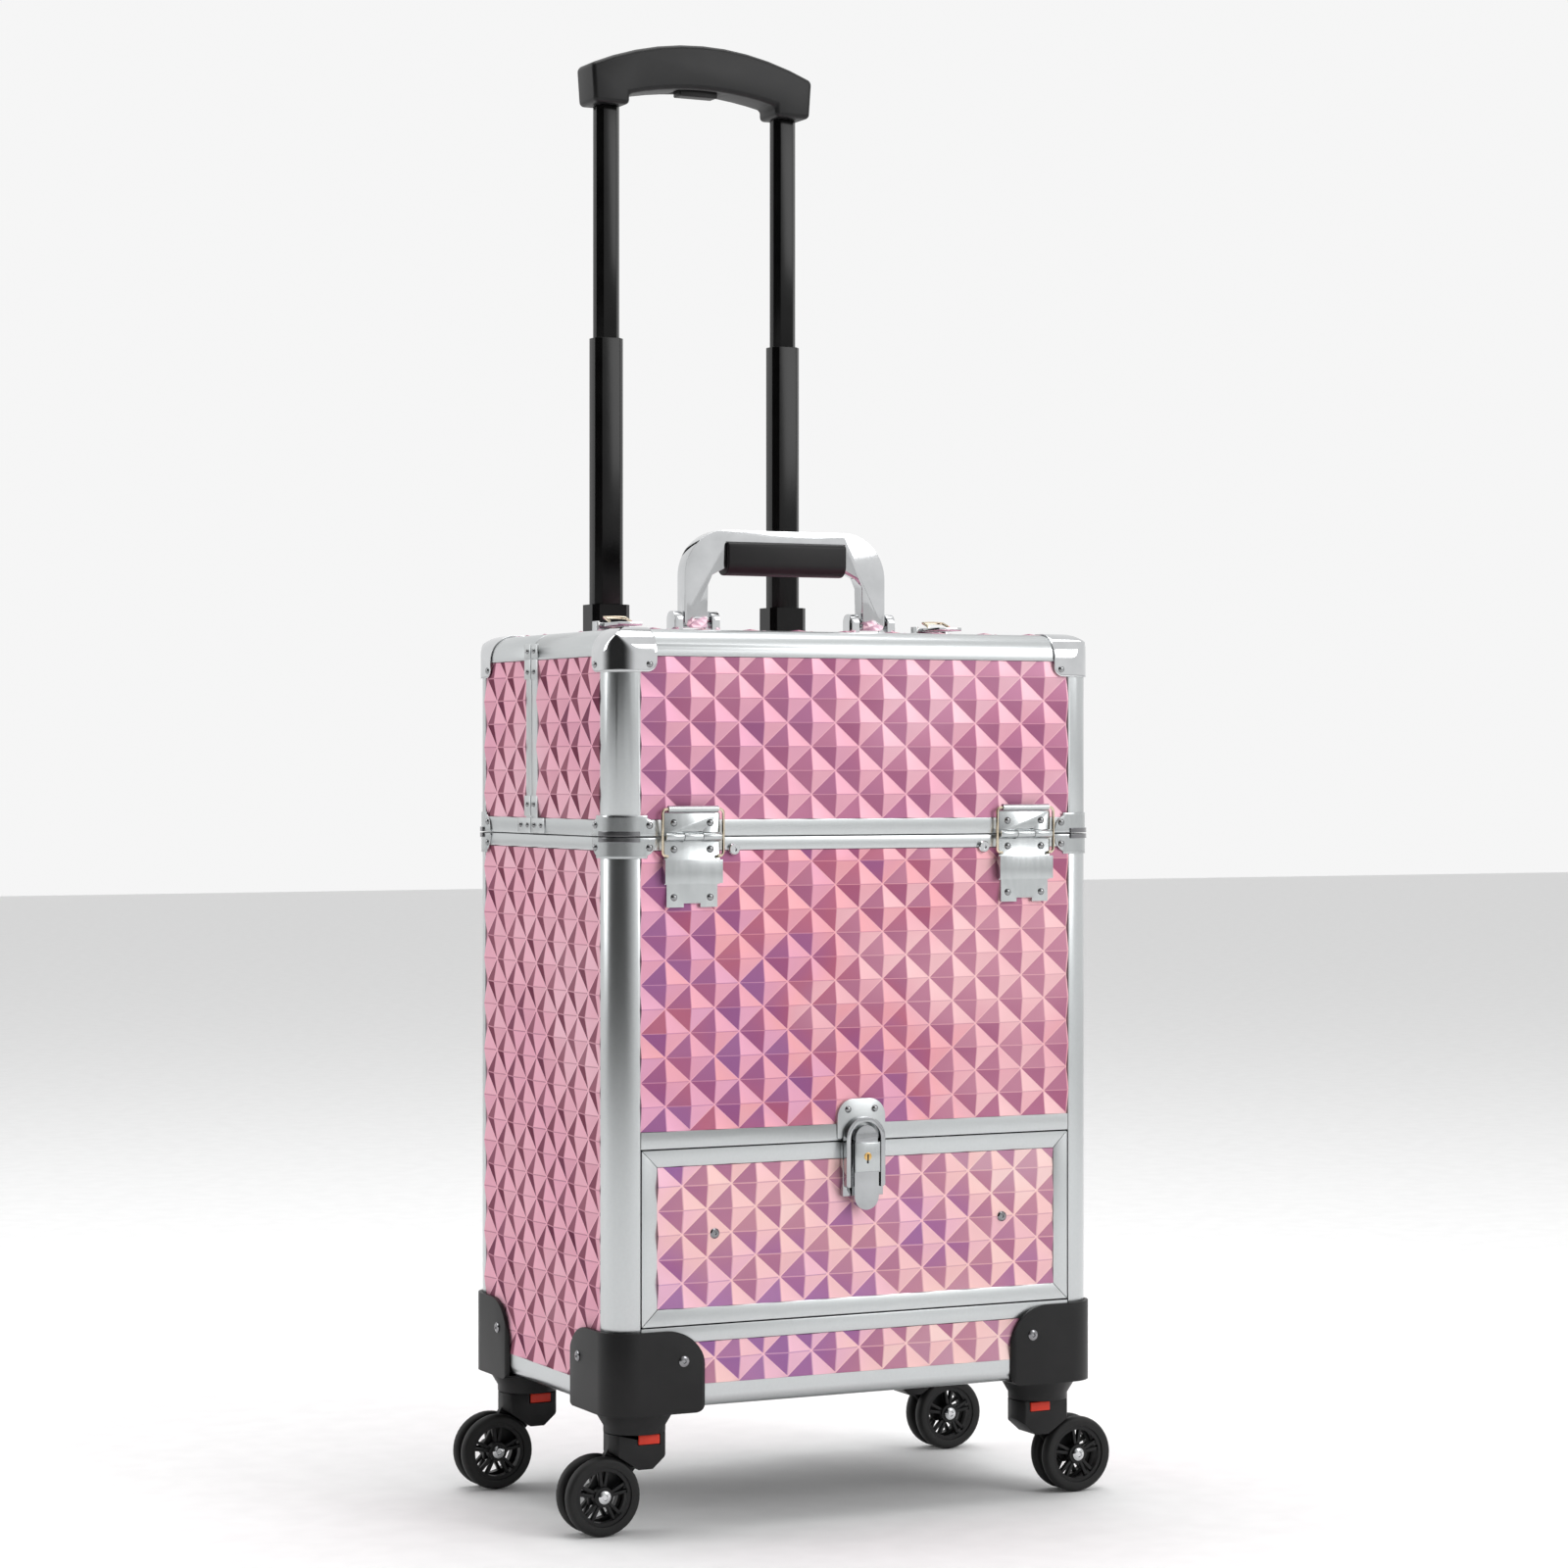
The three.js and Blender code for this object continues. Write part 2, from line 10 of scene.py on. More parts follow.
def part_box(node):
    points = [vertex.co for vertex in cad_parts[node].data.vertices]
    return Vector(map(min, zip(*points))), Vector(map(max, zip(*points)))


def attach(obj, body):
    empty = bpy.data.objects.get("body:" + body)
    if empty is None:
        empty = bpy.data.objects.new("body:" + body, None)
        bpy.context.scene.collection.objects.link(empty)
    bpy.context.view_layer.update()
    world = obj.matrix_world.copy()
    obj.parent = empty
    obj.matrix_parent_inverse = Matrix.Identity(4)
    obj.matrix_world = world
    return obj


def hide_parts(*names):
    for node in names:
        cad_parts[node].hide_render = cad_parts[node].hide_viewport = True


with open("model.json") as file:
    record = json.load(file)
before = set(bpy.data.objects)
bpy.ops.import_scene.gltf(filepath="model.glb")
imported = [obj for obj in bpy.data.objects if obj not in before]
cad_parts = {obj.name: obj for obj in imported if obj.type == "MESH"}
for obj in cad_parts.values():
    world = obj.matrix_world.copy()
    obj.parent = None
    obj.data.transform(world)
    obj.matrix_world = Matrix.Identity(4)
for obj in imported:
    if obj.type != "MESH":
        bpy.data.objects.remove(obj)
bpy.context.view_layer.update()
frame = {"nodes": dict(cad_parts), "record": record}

MM = 0.001
random.seed(7)  # the facets' tints and the random part of their painted shade are drawn at random

# ---- places: the case's bounds read from the frame, and given sizes ----
BODIES = frame["record"]["behaviour"]["bodies"]
RIM_LOW, RIM_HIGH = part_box("base_rim")
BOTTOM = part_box("bottom_frame")[0].z
REAR_LOW, REAR_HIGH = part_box("rear_section_frame")
GAP = 0.3 * MM
LEFT, FRONT = RIM_LOW.x, RIM_LOW.y
RIGHT, BACK = RIM_HIGH.x, RIM_HIGH.y
SEAM = RIM_HIGH.z + GAP
TOP = REAR_HIGH.z
SPLIT = REAR_LOW.y - GAP
POST_LOW, POST_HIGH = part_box("front_left_post")
EDGE = POST_HIGH.x - POST_LOW.x
EDGE_RADIUS = 18 * MM
SKIN = 1.5 * MM  # how far the panels lie behind the profiles
LID_LOW_RAIL = 11 * MM
LID_TOP_RAIL = 18 * MM
SPLIT_RAIL = 10 * MM
CORNERS = {
    "front_left": (-1, -1),
    "front_right": (1, -1),
    "rear_left": (-1, 1),
    "rear_right": (1, 1),
}
SIDES = {"left": -1, "right": 1}

# ---- emboss of the panels ----
DIAMOND_WIDE = 35.4 * MM
DIAMOND_TALL = 31.7 * MM
DIAMOND_RISE = 2.5 * MM
FACET_EDGE = 0.4 * MM  # rounding of the lines between facets

# ---- small fittings ----
RIVET_RADIUS = 2.4 * MM
RIVET_RISE = 1.6 * MM
PLATE_TALL = 14 * MM  # corner plates above and below the seam
WIRE_RADIUS = 1.0 * MM
ROLLED_BAR = 18 * MM  # height of the hinges' rolled bar over the seam

# ---- casters ----
WHEEL_RADIUS = 26 * MM
WHEEL_SPREAD = 7.4 * MM  # from the axle's middle to each wheel's middle


def body_of(node):
    """The body that carries a CAD node."""
    return next(body for body, nodes in BODIES.items() if node in nodes)


# ---- materials ----
def linear(red, green, blue):
    """A colour given as 0 to 255 screen values."""
    def channel(value):
        value = value / 255
        return value / 12.92 if value <= 0.04045 else ((value + 0.055) / 1.055) ** 2.4
    return (channel(red), channel(green), channel(blue), 1.0)


class Nodes:
    """A small helper to write a node material as a list of steps."""

    def __init__(self, name):
        self.material = bpy.data.materials.new(name)
        self.material.use_nodes = True
        self.tree = self.material.node_tree
        self.shader = self.tree.nodes["Principled BSDF"]

    def node(self, kind, **inputs):
        made = self.tree.nodes.new(kind)
        for key, value in inputs.items():
            made.inputs[key.replace("_", " ")].default_value = value
        return made

    def link(self, source, target):
        self.tree.links.new(source, target)

    def set(self, **values):
        for key, value in values.items():
            self.shader.inputs[key.replace("_", " ")].default_value = value

    def coordinates(self, scale=(1, 1, 1)):
        place = self.node("ShaderNodeTexCoord")
        mapping = self.node("ShaderNodeMapping")
        mapping.inputs["Scale"].default_value = scale
        self.link(place.outputs["Object"], mapping.inputs["Vector"])
        return mapping.outputs["Vector"]

    def noise(self, size, stretch=(1, 1, 1), detail=3.0):
        texture = self.node("ShaderNodeTexNoise", Scale=size, Detail=detail)
        self.link(self.coordinates(stretch), texture.inputs["Vector"])
        return texture.outputs["Fac"]

    def ramp(self, value, stops):
        made = self.node("ShaderNodeValToRGB")
        elements = made.color_ramp.elements
        while len(elements) < len(stops):
            elements.new(0.5)
        for element, (position, colour) in zip(elements, stops):
            element.position = position
            element.color = colour
        self.link(value, made.inputs["Fac"])
        return made.outputs["Color"]

    def mix(self, factor, first, second, kind="MIX"):
        made = self.tree.nodes.new("ShaderNodeMix")
        made.data_type = "RGBA"
        made.blend_type = kind
        sockets = (made.inputs[0], made.inputs[6], made.inputs[7])
        for socket, value in zip(sockets, (factor, first, second)):
            if isinstance(value, bpy.types.NodeSocket):
                self.link(value, socket)
            else:
                socket.default_value = value
        return made.outputs[2]

    def add(self, first, second):
        made = self.node("ShaderNodeMath")
        made.operation = "ADD"
        self.link(first, made.inputs[0])
        self.link(second, made.inputs[1])
        return made.outputs["Value"]

    def scaled(self, value, factor):
        made = self.node("ShaderNodeMath")
        made.operation = "MULTIPLY"
        self.link(value, made.inputs[0])
        made.inputs[1].default_value = factor
        return made.outputs["Value"]

    def roughness(self, value, low, high):
        spread = self.node("ShaderNodeMapRange", To_Min=low, To_Max=high)
        self.link(value, spread.inputs["Value"])
        self.link(spread.outputs["Result"], self.shader.inputs["Roughness"])

    def bump(self, value, strength, distance):
        made = self.node("ShaderNodeBump", Strength=strength, Distance=distance)
        self.link(value, made.inputs["Height"])
        self.link(made.outputs["Normal"], self.shader.inputs["Normal"])

    def colour(self, socket):
        self.link(socket, self.shader.inputs["Base Color"])


def metal(name, low, high, rough, stretch, grain, bump):
    """Metal whose colour and roughness vary with a fine grain."""
    made = Nodes(name)
    made.set(Metallic=1.0)
    streaks = made.noise(grain, stretch)
    made.colour(made.ramp(streaks, [(0.3, low), (0.7, high)]))
    made.roughness(streaks, rough[0], rough[1])
    made.bump(made.noise(grain * 2, stretch), bump, 0.1 * MM)
    return made.material


def plastic(name, low, high, rough, grain, bump, shine=0.32):
    """Plastic with soft clouds of colour and a fine moulded grain."""
    made = Nodes(name)
    made.set(Specular_IOR_Level=shine)
    clouds = made.noise(40.0)
    made.colour(made.ramp(clouds, [(0.35, low), (0.65, high)]))
    made.roughness(clouds, rough[0], rough[1])
    made.bump(made.noise(grain, detail=2.0), bump, 0.15 * MM)
    return made.material


def iridescent(name, light, dark, tints, lift=0.0, metallic=0.40, shine=0.15):
    """Foil over a pyramid emboss: each facet is painted light or dark by the way it faces, as
    painted shade with a small random spread, and broad tints drift over it.
    """
    made = Nodes(name)
    made.set(Metallic=metallic, Specular_IOR_Level=shine)
    side = made.node("ShaderNodeAttribute")
    side.attribute_name = "facet_painted_shading"
    cell = made.node("ShaderNodeAttribute")
    cell.attribute_name = "facet_tint"
    # Painted shade: the facets' stored shade value runs from the shaded colour dark to the lit
    # colour light, and the bright facet lines sit near the light end.
    shade = made.ramp(side.outputs["Fac"], [(0.0, dark), (0.85, light), (1.0, light)])
    place = made.node("ShaderNodeSeparateXYZ")
    made.link(made.coordinates(), place.inputs["Vector"])
    across = made.node("ShaderNodeMapRange", From_Min=LEFT, From_Max=RIGHT, To_Min=-0.22 + lift,
                       To_Max=0.20 + lift)
    made.link(place.outputs["X"], across.inputs["Value"])
    drift = made.add(across.outputs["Result"], made.noise(7.0, (1, 1, 1.3), 1.0))
    patches = made.add(drift, made.scaled(cell.outputs["Fac"], 0.20))
    tint = made.ramp(patches, [(0.36, tints[0]), (0.46, tints[1]), (0.56, tints[2]),
                               (0.66, tints[3]), (0.80, tints[4])])
    made.colour(made.mix(0.55, shade, made.mix(1.0, shade, tint, "SOFT_LIGHT")))
    made.roughness(made.noise(60.0), 0.34, 0.42)
    made.bump(made.noise(900.0), 0.05, 0.1 * MM)
    return made.material


SATIN = metal("satin_aluminium_look", (0.55, 0.57, 0.575, 1), (0.57, 0.59, 0.595, 1),
              (0.27, 0.30), (1, 1, 1), 500.0, 0.006)
STEEL = metal("steel_look", (0.47, 0.49, 0.495, 1), (0.52, 0.54, 0.545, 1),
              (0.20, 0.25), (1, 1, 0.2), 300.0, 0.01)
CHROME = metal("chrome_look", (0.58, 0.59, 0.60, 1), (0.66, 0.67, 0.68, 1),
               (0.04, 0.08), (1, 1, 1), 60.0, 0.005)
DARK_CHROME = metal("dark_chrome_look", (0.20, 0.20, 0.21, 1), (0.30, 0.30, 0.31, 1),
                    (0.10, 0.18), (1, 1, 1), 60.0, 0.02)
SMOKED = metal("smoked_chrome_look", (0.36, 0.37, 0.38, 1), (0.44, 0.45, 0.46, 1),
               (0.05, 0.09), (1, 1, 1), 60.0, 0.005)
RIVET = metal("rivet_look", (0.24, 0.245, 0.25, 1), (0.34, 0.345, 0.35, 1),
              (0.18, 0.26), (1, 1, 1), 400.0, 0.02)
WIRE = metal("wire_look", (0.70, 0.58, 0.42, 1), (0.86, 0.76, 0.60, 1),
             (0.10, 0.18), (1, 1, 1), 80.0, 0.02)
BRASS = metal("brass_look", (0.60, 0.36, 0.12, 1), (0.78, 0.52, 0.20, 1),
              (0.18, 0.30), (1, 1, 1), 300.0, 0.05)
TUBE = plastic("black_tube_look", (0.002, 0.002, 0.002, 1), (0.004, 0.004, 0.004, 1),
               (0.16, 0.22), 700.0, 0.02, 0.22)
PLASTIC = plastic("black_plastic_look", (0.005, 0.005, 0.0055, 1), (0.008, 0.008, 0.0085, 1),
                  (0.40, 0.50), 1800.0, 0.25)
GRIP = plastic("grip_look", (0.004, 0.004, 0.0045, 1), (0.007, 0.007, 0.0075, 1),
               (0.36, 0.48), 2400.0, 0.20)
TYRE = plastic("tyre_look", (0.008, 0.008, 0.008, 1), (0.014, 0.014, 0.014, 1),
               (0.45, 0.62), 1400.0, 0.18)
RED = plastic("red_tab_look", (0.62, 0.03, 0.012, 1), (0.74, 0.045, 0.02, 1),
              (0.30, 0.42), 1200.0, 0.10)
LINING_AND_SLOT_SHADE = plastic("lining_and_slot_shade_look", (0.02, 0.02, 0.022, 1), (0.035, 0.035, 0.038, 1),
                 (0.85, 0.95), 2600.0, 0.5)
# Each look gives a lit facet colour, a painted shade colour for the facets that face away from the
# light, and five tints.
PINK_FRONT = iridescent("pink_front_look", linear(238, 190, 196), linear(158, 98, 134), [
    linear(96, 96, 190), linear(140, 90, 165), linear(205, 110, 105), linear(190, 150, 160),
    linear(235, 215, 205)])
PINK_LID = iridescent("pink_lid_look", linear(234, 188, 198), linear(160, 102, 136), [
    linear(130, 100, 160), linear(150, 110, 150), linear(180, 130, 150), linear(200, 165, 175),
    linear(225, 205, 210)])
PINK_SIDE = iridescent("pink_side_look", linear(250, 200, 212), linear(78, 12, 44), [
    linear(170, 120, 160), linear(190, 135, 165), linear(200, 150, 170), linear(215, 170, 185),
    linear(225, 195, 205)], 0.2, 0.04, 0.0)
PINK_DRAWER = iridescent("pink_drawer_look", linear(246, 208, 206), linear(160, 108, 146), [
    linear(110, 100, 205), linear(160, 110, 185), linear(195, 150, 165), linear(220, 175, 165),
    linear(240, 225, 215)])


# ---- making pieces ----
def piece(name, mesh, material, body, smooth=35.0):
    """A visual piece that rides on a body, smooth below an angle in degrees."""
    made = bpy.data.objects.new(name, mesh)
    bpy.context.collection.objects.link(made)
    mesh.materials.clear()
    mesh.materials.append(material)
    if smooth:
        mesh.shade_smooth()
        bpy.context.view_layer.objects.active = made
        with bpy.context.temp_override(object=made, active_object=made, selected_objects=[made],
                                       selected_editable_objects=[made]):
            bpy.ops.object.shade_smooth_by_angle(angle=math.radians(smooth))
    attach(made, body)
    return made


def from_bmesh(name, bm, material, body, smooth=35.0):
    """Makes a piece of a bmesh, which is used up."""
    bmesh.ops.recalc_face_normals(bm, faces=bm.faces)
    mesh = bpy.data.meshes.new(name)
    bm.to_mesh(mesh)
    bm.free()
    return piece(name, mesh, material, body, smooth)


def cad_copy(node):
    """A copy of a CAD node's mesh, with its coplanar triangles joined."""
    bm = bmesh.new()
    bm.from_mesh(frame["nodes"][node].data)
    bmesh.ops.remove_doubles(bm, verts=bm.verts, dist=0.005 * MM)
    bmesh.ops.dissolve_limit(bm, angle_limit=math.radians(1.0), verts=bm.verts, edges=bm.edges)
    return bm


def refine(node, material, width, segments=3, angle=30.0):
    """The CAD node's own shape with its sharp edges rounded."""
    bm = cad_copy(node)
    sharp = [e for e in bm.edges
             if len(e.link_faces) == 2 and e.calc_face_angle(0) > math.radians(angle)]
    bmesh.ops.bevel(bm, geom=sharp, offset=width, segments=segments, profile=0.5,
                    affect="EDGES", clamp_overlap=True)
    made = from_bmesh(node + "_finish", bm, material, body_of(node))
    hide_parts(node)
    return made


def keep(node, material):
    """The CAD node stays as it is, with a better material."""
    mesh = frame["nodes"][node].data
    mesh.materials.clear()
    mesh.materials.append(material)


def add_box(bm, low, high, width=0.0, segments=2):
    """Adds a box to bm, with rounded edges where width is given."""
    made = bmesh.ops.create_cube(bm, size=1.0)["verts"]
    size = Vector(high) - Vector(low)
    middle = (Vector(high) + Vector(low)) / 2
    for vert in made:
        vert.co = Vector((vert.co.x * size.x, vert.co.y * size.y, vert.co.z * size.z)) + middle
    if width:
        edges = list({e for v in made for e in v.link_edges})
        bmesh.ops.bevel(bm, geom=edges, offset=width, segments=segments, profile=0.5,
                        affect="EDGES")


def add_lathe(bm, profile, centre, axis, steps=24):
    """Adds a surface of revolution. Its profile of (radius, height along the axis) goes from pole
    to pole, or ends where it starts."""
    turn = Vector((0, 0, 1)).rotation_difference(Vector(axis)).to_matrix()
    closed = profile[0] == profile[-1]
    rings = []
    for radius, height in profile[:-1] if closed else profile:
        if radius < 1e-7:
            rings.append([bm.verts.new(Vector(centre) + turn @ Vector((0, 0, height)))])
            continue
        ring = []
        for step in range(steps):
            a = 2 * math.pi * step / steps
            spot = Vector((radius * math.cos(a), radius * math.sin(a), height))
            ring.append(bm.verts.new(Vector(centre) + turn @ spot))
        rings.append(ring)
    if closed:
        rings.append(rings[0])
    for lower, upper in zip(rings, rings[1:]):
        for step in range(steps):
            after = (step + 1) % steps
            corners = [lower[step % len(lower)], lower[after % len(lower)],
                       upper[after % len(upper)], upper[step % len(upper)]]
            unique = list(dict.fromkeys(corners))
            if len(unique) > 2:
                bm.faces.new(unique)


def add_dome(bm, centre, axis, radius, height):
    """Adds a rivet head."""
    arc = [(radius * math.cos(a), height * math.sin(a))
           for a in [math.pi / 2 * k / 5 for k in range(5)]]
    add_lathe(bm, [(0, -0.2 * MM), (radius, -0.2 * MM)] + arc + [(0, height)], centre, axis, 16)


def add_tube(bm, points, radius, steps=10):
    """Adds a round wire that follows the points and is closed at both ends."""
    points = [Vector(p) for p in points]
    rings = []
    for i, here in enumerate(points):
        along = (points[min(i + 1, len(points) - 1)] - points[max(i - 1, 0)]).normalized()
        across = along.cross(Vector((0, 1, 0.01))).normalized()
        other = along.cross(across)
        rings.append([bm.verts.new(here + radius * (across * math.cos(a) + other * math.sin(a)))
                      for a in [2 * math.pi * k / steps for k in range(steps)]])
    for lower, upper in zip(rings, rings[1:]):
        for k in range(steps):
            bm.faces.new([lower[k], lower[(k + 1) % steps], upper[(k + 1) % steps], upper[k]])
    bm.faces.new(rings[0])
    bm.faces.new(rings[-1])


# ---- embossed panels ----
def emboss(name, corner, across, up, out, wide, tall, material, body):
    """A sheet of pyramids on a rectangle: corner is its low corner, out is the way it faces."""
    corner, across, up, out = Vector(corner), Vector(across), Vector(up), Vector(out)
    bm = bmesh.new()
    side = bm.faces.layers.float.new("facet_painted_shading")
    tint = bm.faces.layers.float.new("facet_tint")
    step_u = DIAMOND_WIDE / 2
    step_v = DIAMOND_TALL / 2
    columns = math.ceil(wide / step_u)
    rows = math.ceil(tall / step_v)
    grid = {}
    for i in range(columns + 1):
        for j in range(rows + 1):
            rise = DIAMOND_RISE if (i + j) % 2 else 0.0
            grid[i, j] = bm.verts.new(corner + across * i * step_u + up * j * step_v + out * rise)
    for i in range(columns):
        for j in range(rows):
            ring = [(i, j), (i + 1, j), (i + 1, j + 1), (i, j + 1)]
            peaks = [n for n in range(4) if sum(ring[n]) % 2]
            for n in peaks:
                before, after = ring[n - 1], ring[(n + 1) % 4]
                face = bm.faces.new([grid[before], grid[ring[n]], grid[after]])
                # Painted shade: facets that face the across way (to the right on the front) are
                # painted light and those that face the other way dark, with upward-facing ones a
                # little lighter and a small random spread.
                right = 1.0 if ring[n][0] == i else 0.0
                upper = 1.0 if ring[n][1] == j else 0.0
                face[side] = 0.08 + 0.62 * right + 0.07 * upper + 0.10 * random.random()
                face[tint] = random.random()
    for limit, normal in ((corner + across * wide, across), (corner + up * tall, up)):
        bmesh.ops.bisect_plane(bm, geom=bm.verts[:] + bm.edges[:] + bm.faces[:], dist=1e-6,
                               plane_co=limit, plane_no=normal, clear_outer=True)
    inner = [e for e in bm.edges
             if len(e.link_faces) == 2 and e.calc_face_angle(0) > math.radians(4)]
    edges = bmesh.ops.bevel(bm, geom=inner, offset=FACET_EDGE, segments=2,
                            profile=0.5, affect="EDGES", clamp_overlap=True)
    # Painted highlight: the rounded valley lines between facets are painted bright, and the rounded
    # ridge lines a middle shade.
    for face in edges["faces"]:
        height = (face.calc_center_median() - corner).dot(out)
        face[side] = 0.85 if height < 0.35 * MM else 0.50
    rim = [e for e in bm.edges if len(e.link_faces) == 1]
    sunk = bmesh.ops.extrude_edge_only(bm, edges=rim)["geom"]
    for vert in (g for g in sunk if isinstance(g, bmesh.types.BMVert)):
        height = (vert.co - corner).dot(out)
        vert.co -= out * (height + 0.04 * MM)
    floor = [g for g in sunk if isinstance(g, bmesh.types.BMEdge) and len(g.link_faces) == 1]
    bmesh.ops.edgeloop_fill(bm, edges=floor)
    return from_bmesh(name, bm, material, body, 8.0)


def slab_emboss(name, node, facing, material):
    """Embosses the outer face of a flat CAD panel, which stays behind it."""
    low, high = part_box(node)
    tall = high.z - low.z
    lift = 0.05 * MM
    wide_x = high.x - low.x
    wide_y = high.y - low.y
    starts = {
        "front": ((low.x, low.y - lift, low.z), (1, 0, 0), (0, -1, 0), wide_x),
        "back": ((high.x, high.y + lift, low.z), (-1, 0, 0), (0, 1, 0), wide_x),
        "left": ((low.x - lift, high.y, low.z), (0, -1, 0), (-1, 0, 0), wide_y),
        "right": ((high.x + lift, low.y, low.z), (0, 1, 0), (1, 0, 0), wide_y),
    }
    start, across, out, wide = starts[facing]
    emboss(name, start, across, (0, 0, 1), out, wide, tall, material, body_of(node))
    keep(node, LINING_AND_SLOT_SHADE)


def lid_embosses(prefix, body, near, far, outward):
    """Embosses the four windows of a lid half that reaches from y near to y far."""
    low = SEAM + LID_LOW_RAIL + GAP
    high = TOP - LID_TOP_RAIL - GAP
    edge = EDGE + GAP
    tall = high - low
    skin = SKIN - 0.05 * MM
    wide = RIGHT - LEFT - 2 * edge
    deep = far - near
    up = (0, 0, 1)
    if outward < 0:
        emboss(prefix + "_front_emboss", (LEFT + edge, FRONT + skin, low), (1, 0, 0), up,
               (0, -1, 0), wide, tall, PINK_LID, body)
    else:
        emboss(prefix + "_back_emboss", (RIGHT - edge, BACK - skin, low), (-1, 0, 0), up,
               (0, 1, 0), wide, tall, PINK_LID, body)
    emboss(prefix + "_left_emboss", (LEFT + skin, far, low), (0, -1, 0), up, (-1, 0, 0), deep,
           tall, PINK_SIDE, body)
    emboss(prefix + "_right_emboss", (RIGHT - skin, near, low), (0, 1, 0), up, (1, 0, 0), deep,
           tall, PINK_SIDE, body)
    emboss(prefix + "_top_emboss", (LEFT + edge, near, TOP - skin), (1, 0, 0), (0, 1, 0),
           (0, 0, 1), wide, deep, PINK_LID, body)


def panels():
    """The embossed faces of the base, the drawer and both lid halves."""
    slab_emboss("base_front_emboss", "front_panel", "front", PINK_FRONT)
    slab_emboss("kick_emboss", "kick_panel", "front", PINK_DRAWER)
    slab_emboss("base_back_emboss", "rear_panel", "back", PINK_FRONT)
    slab_emboss("base_left_emboss", "left_side_panel", "left", PINK_SIDE)
    slab_emboss("base_right_emboss", "right_side_panel", "right", PINK_SIDE)
    slab_emboss("drawer_emboss", "drawer_panel", "front", PINK_DRAWER)
    narrow = SPLIT_RAIL + GAP
    edge = EDGE + GAP
    lid_embosses("front_lid", "front_lid", FRONT + edge, SPLIT - narrow, -1)
    lid_embosses("rear_section", "case", SPLIT + narrow, BACK - edge, 1)
    for node in ("front_lid_shell", "rear_section_shell", "base_floor", "drawer_shelf",
                 "drawer_box"):
        keep(node, LINING_AND_SLOT_SHADE)


# ---- aluminium profiles ----
def profiles():
    """Posts, rails and frames."""
    for corner in CORNERS:
        refine(corner + "_post", SATIN, 0.4 * MM, 2)
    for node in ("base_rim", "drawer_lower_rail", "drawer_upper_rail"):
        refine(node, SATIN, 0.5 * MM, 2)
    refine("front_lid_frame", SATIN, 0.5 * MM, 2)
    refine("rear_section_frame", SATIN, 0.5 * MM, 2)
    bottom_rail()
    drawer_face()


def bottom_rail():
    """The bottom frame with a round lower outer edge."""
    bm = cad_copy("bottom_frame")
    inset = 8 * MM

    def outer(vert):
        return (vert.co.z < BOTTOM + 0.1 * MM
                and not (LEFT + inset < vert.co.x < RIGHT - inset
                         and FRONT + inset < vert.co.y < BACK - inset))

    edges = [e for e in bm.edges if all(outer(v) for v in e.verts)]
    bmesh.ops.bevel(bm, geom=edges, offset=inset, segments=8, profile=0.5, affect="EDGES")
    made = from_bmesh("bottom_frame_finish", bm, SATIN, "case")
    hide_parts("bottom_frame")


def drawer_face():
    """Four mitred flat bars round the drawer's panel."""
    low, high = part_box("drawer_frame")
    face = 11 * MM
    slit = 0.12 * MM
    bm = bmesh.new()
    outer = [(low.x, low.z), (high.x, low.z), (high.x, high.z), (low.x, high.z)]
    inner = [(low.x + face, low.z + face), (high.x - face, low.z + face),
             (high.x - face, high.z - face), (low.x + face, high.z - face)]
    for k in range(4):
        n = (k + 1) % 4
        middle_x = (outer[k][0] + outer[n][0] + inner[k][0] + inner[n][0]) / 4
        middle_z = (outer[k][1] + outer[n][1] + inner[k][1] + inner[n][1]) / 4
        ring = []
        for x, z in (outer[k], outer[n], inner[n], inner[k]):
            along_x = slit if k % 2 == 0 else 0
            along_z = slit if k % 2 == 1 else 0
            ring.append((x + math.copysign(along_x, middle_x - x),
                         z + math.copysign(along_z, middle_z - z)))
        front = [bm.verts.new((x, low.y, z)) for x, z in ring]
        rear = [bm.verts.new((x, high.y, z)) for x, z in ring]
        bm.faces.new(front)
        bm.faces.new(rear)
        for i in range(4):
            j = (i + 1) % 4
            bm.faces.new([front[i], front[j], rear[j], rear[i]])
    bmesh.ops.recalc_face_normals(bm, faces=bm.faces)
    bmesh.ops.bevel(bm, geom=bm.edges[:], offset=0.35 * MM, segments=2, profile=0.5,
                    affect="EDGES")
    made = from_bmesh("drawer_frame_finish", bm, SATIN, "drawer")
    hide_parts("drawer_frame")


# ---- corner hardware ----
def corner_point(corner, x, y, z):
    """A point given by its distances in from a vertical corner of the case."""
    sign_x, sign_y = CORNERS[corner]
    edge_x = LEFT if sign_x < 0 else RIGHT
    edge_y = FRONT if sign_y < 0 else BACK
    return Vector((edge_x - sign_x * x, edge_y - sign_y * y, z))


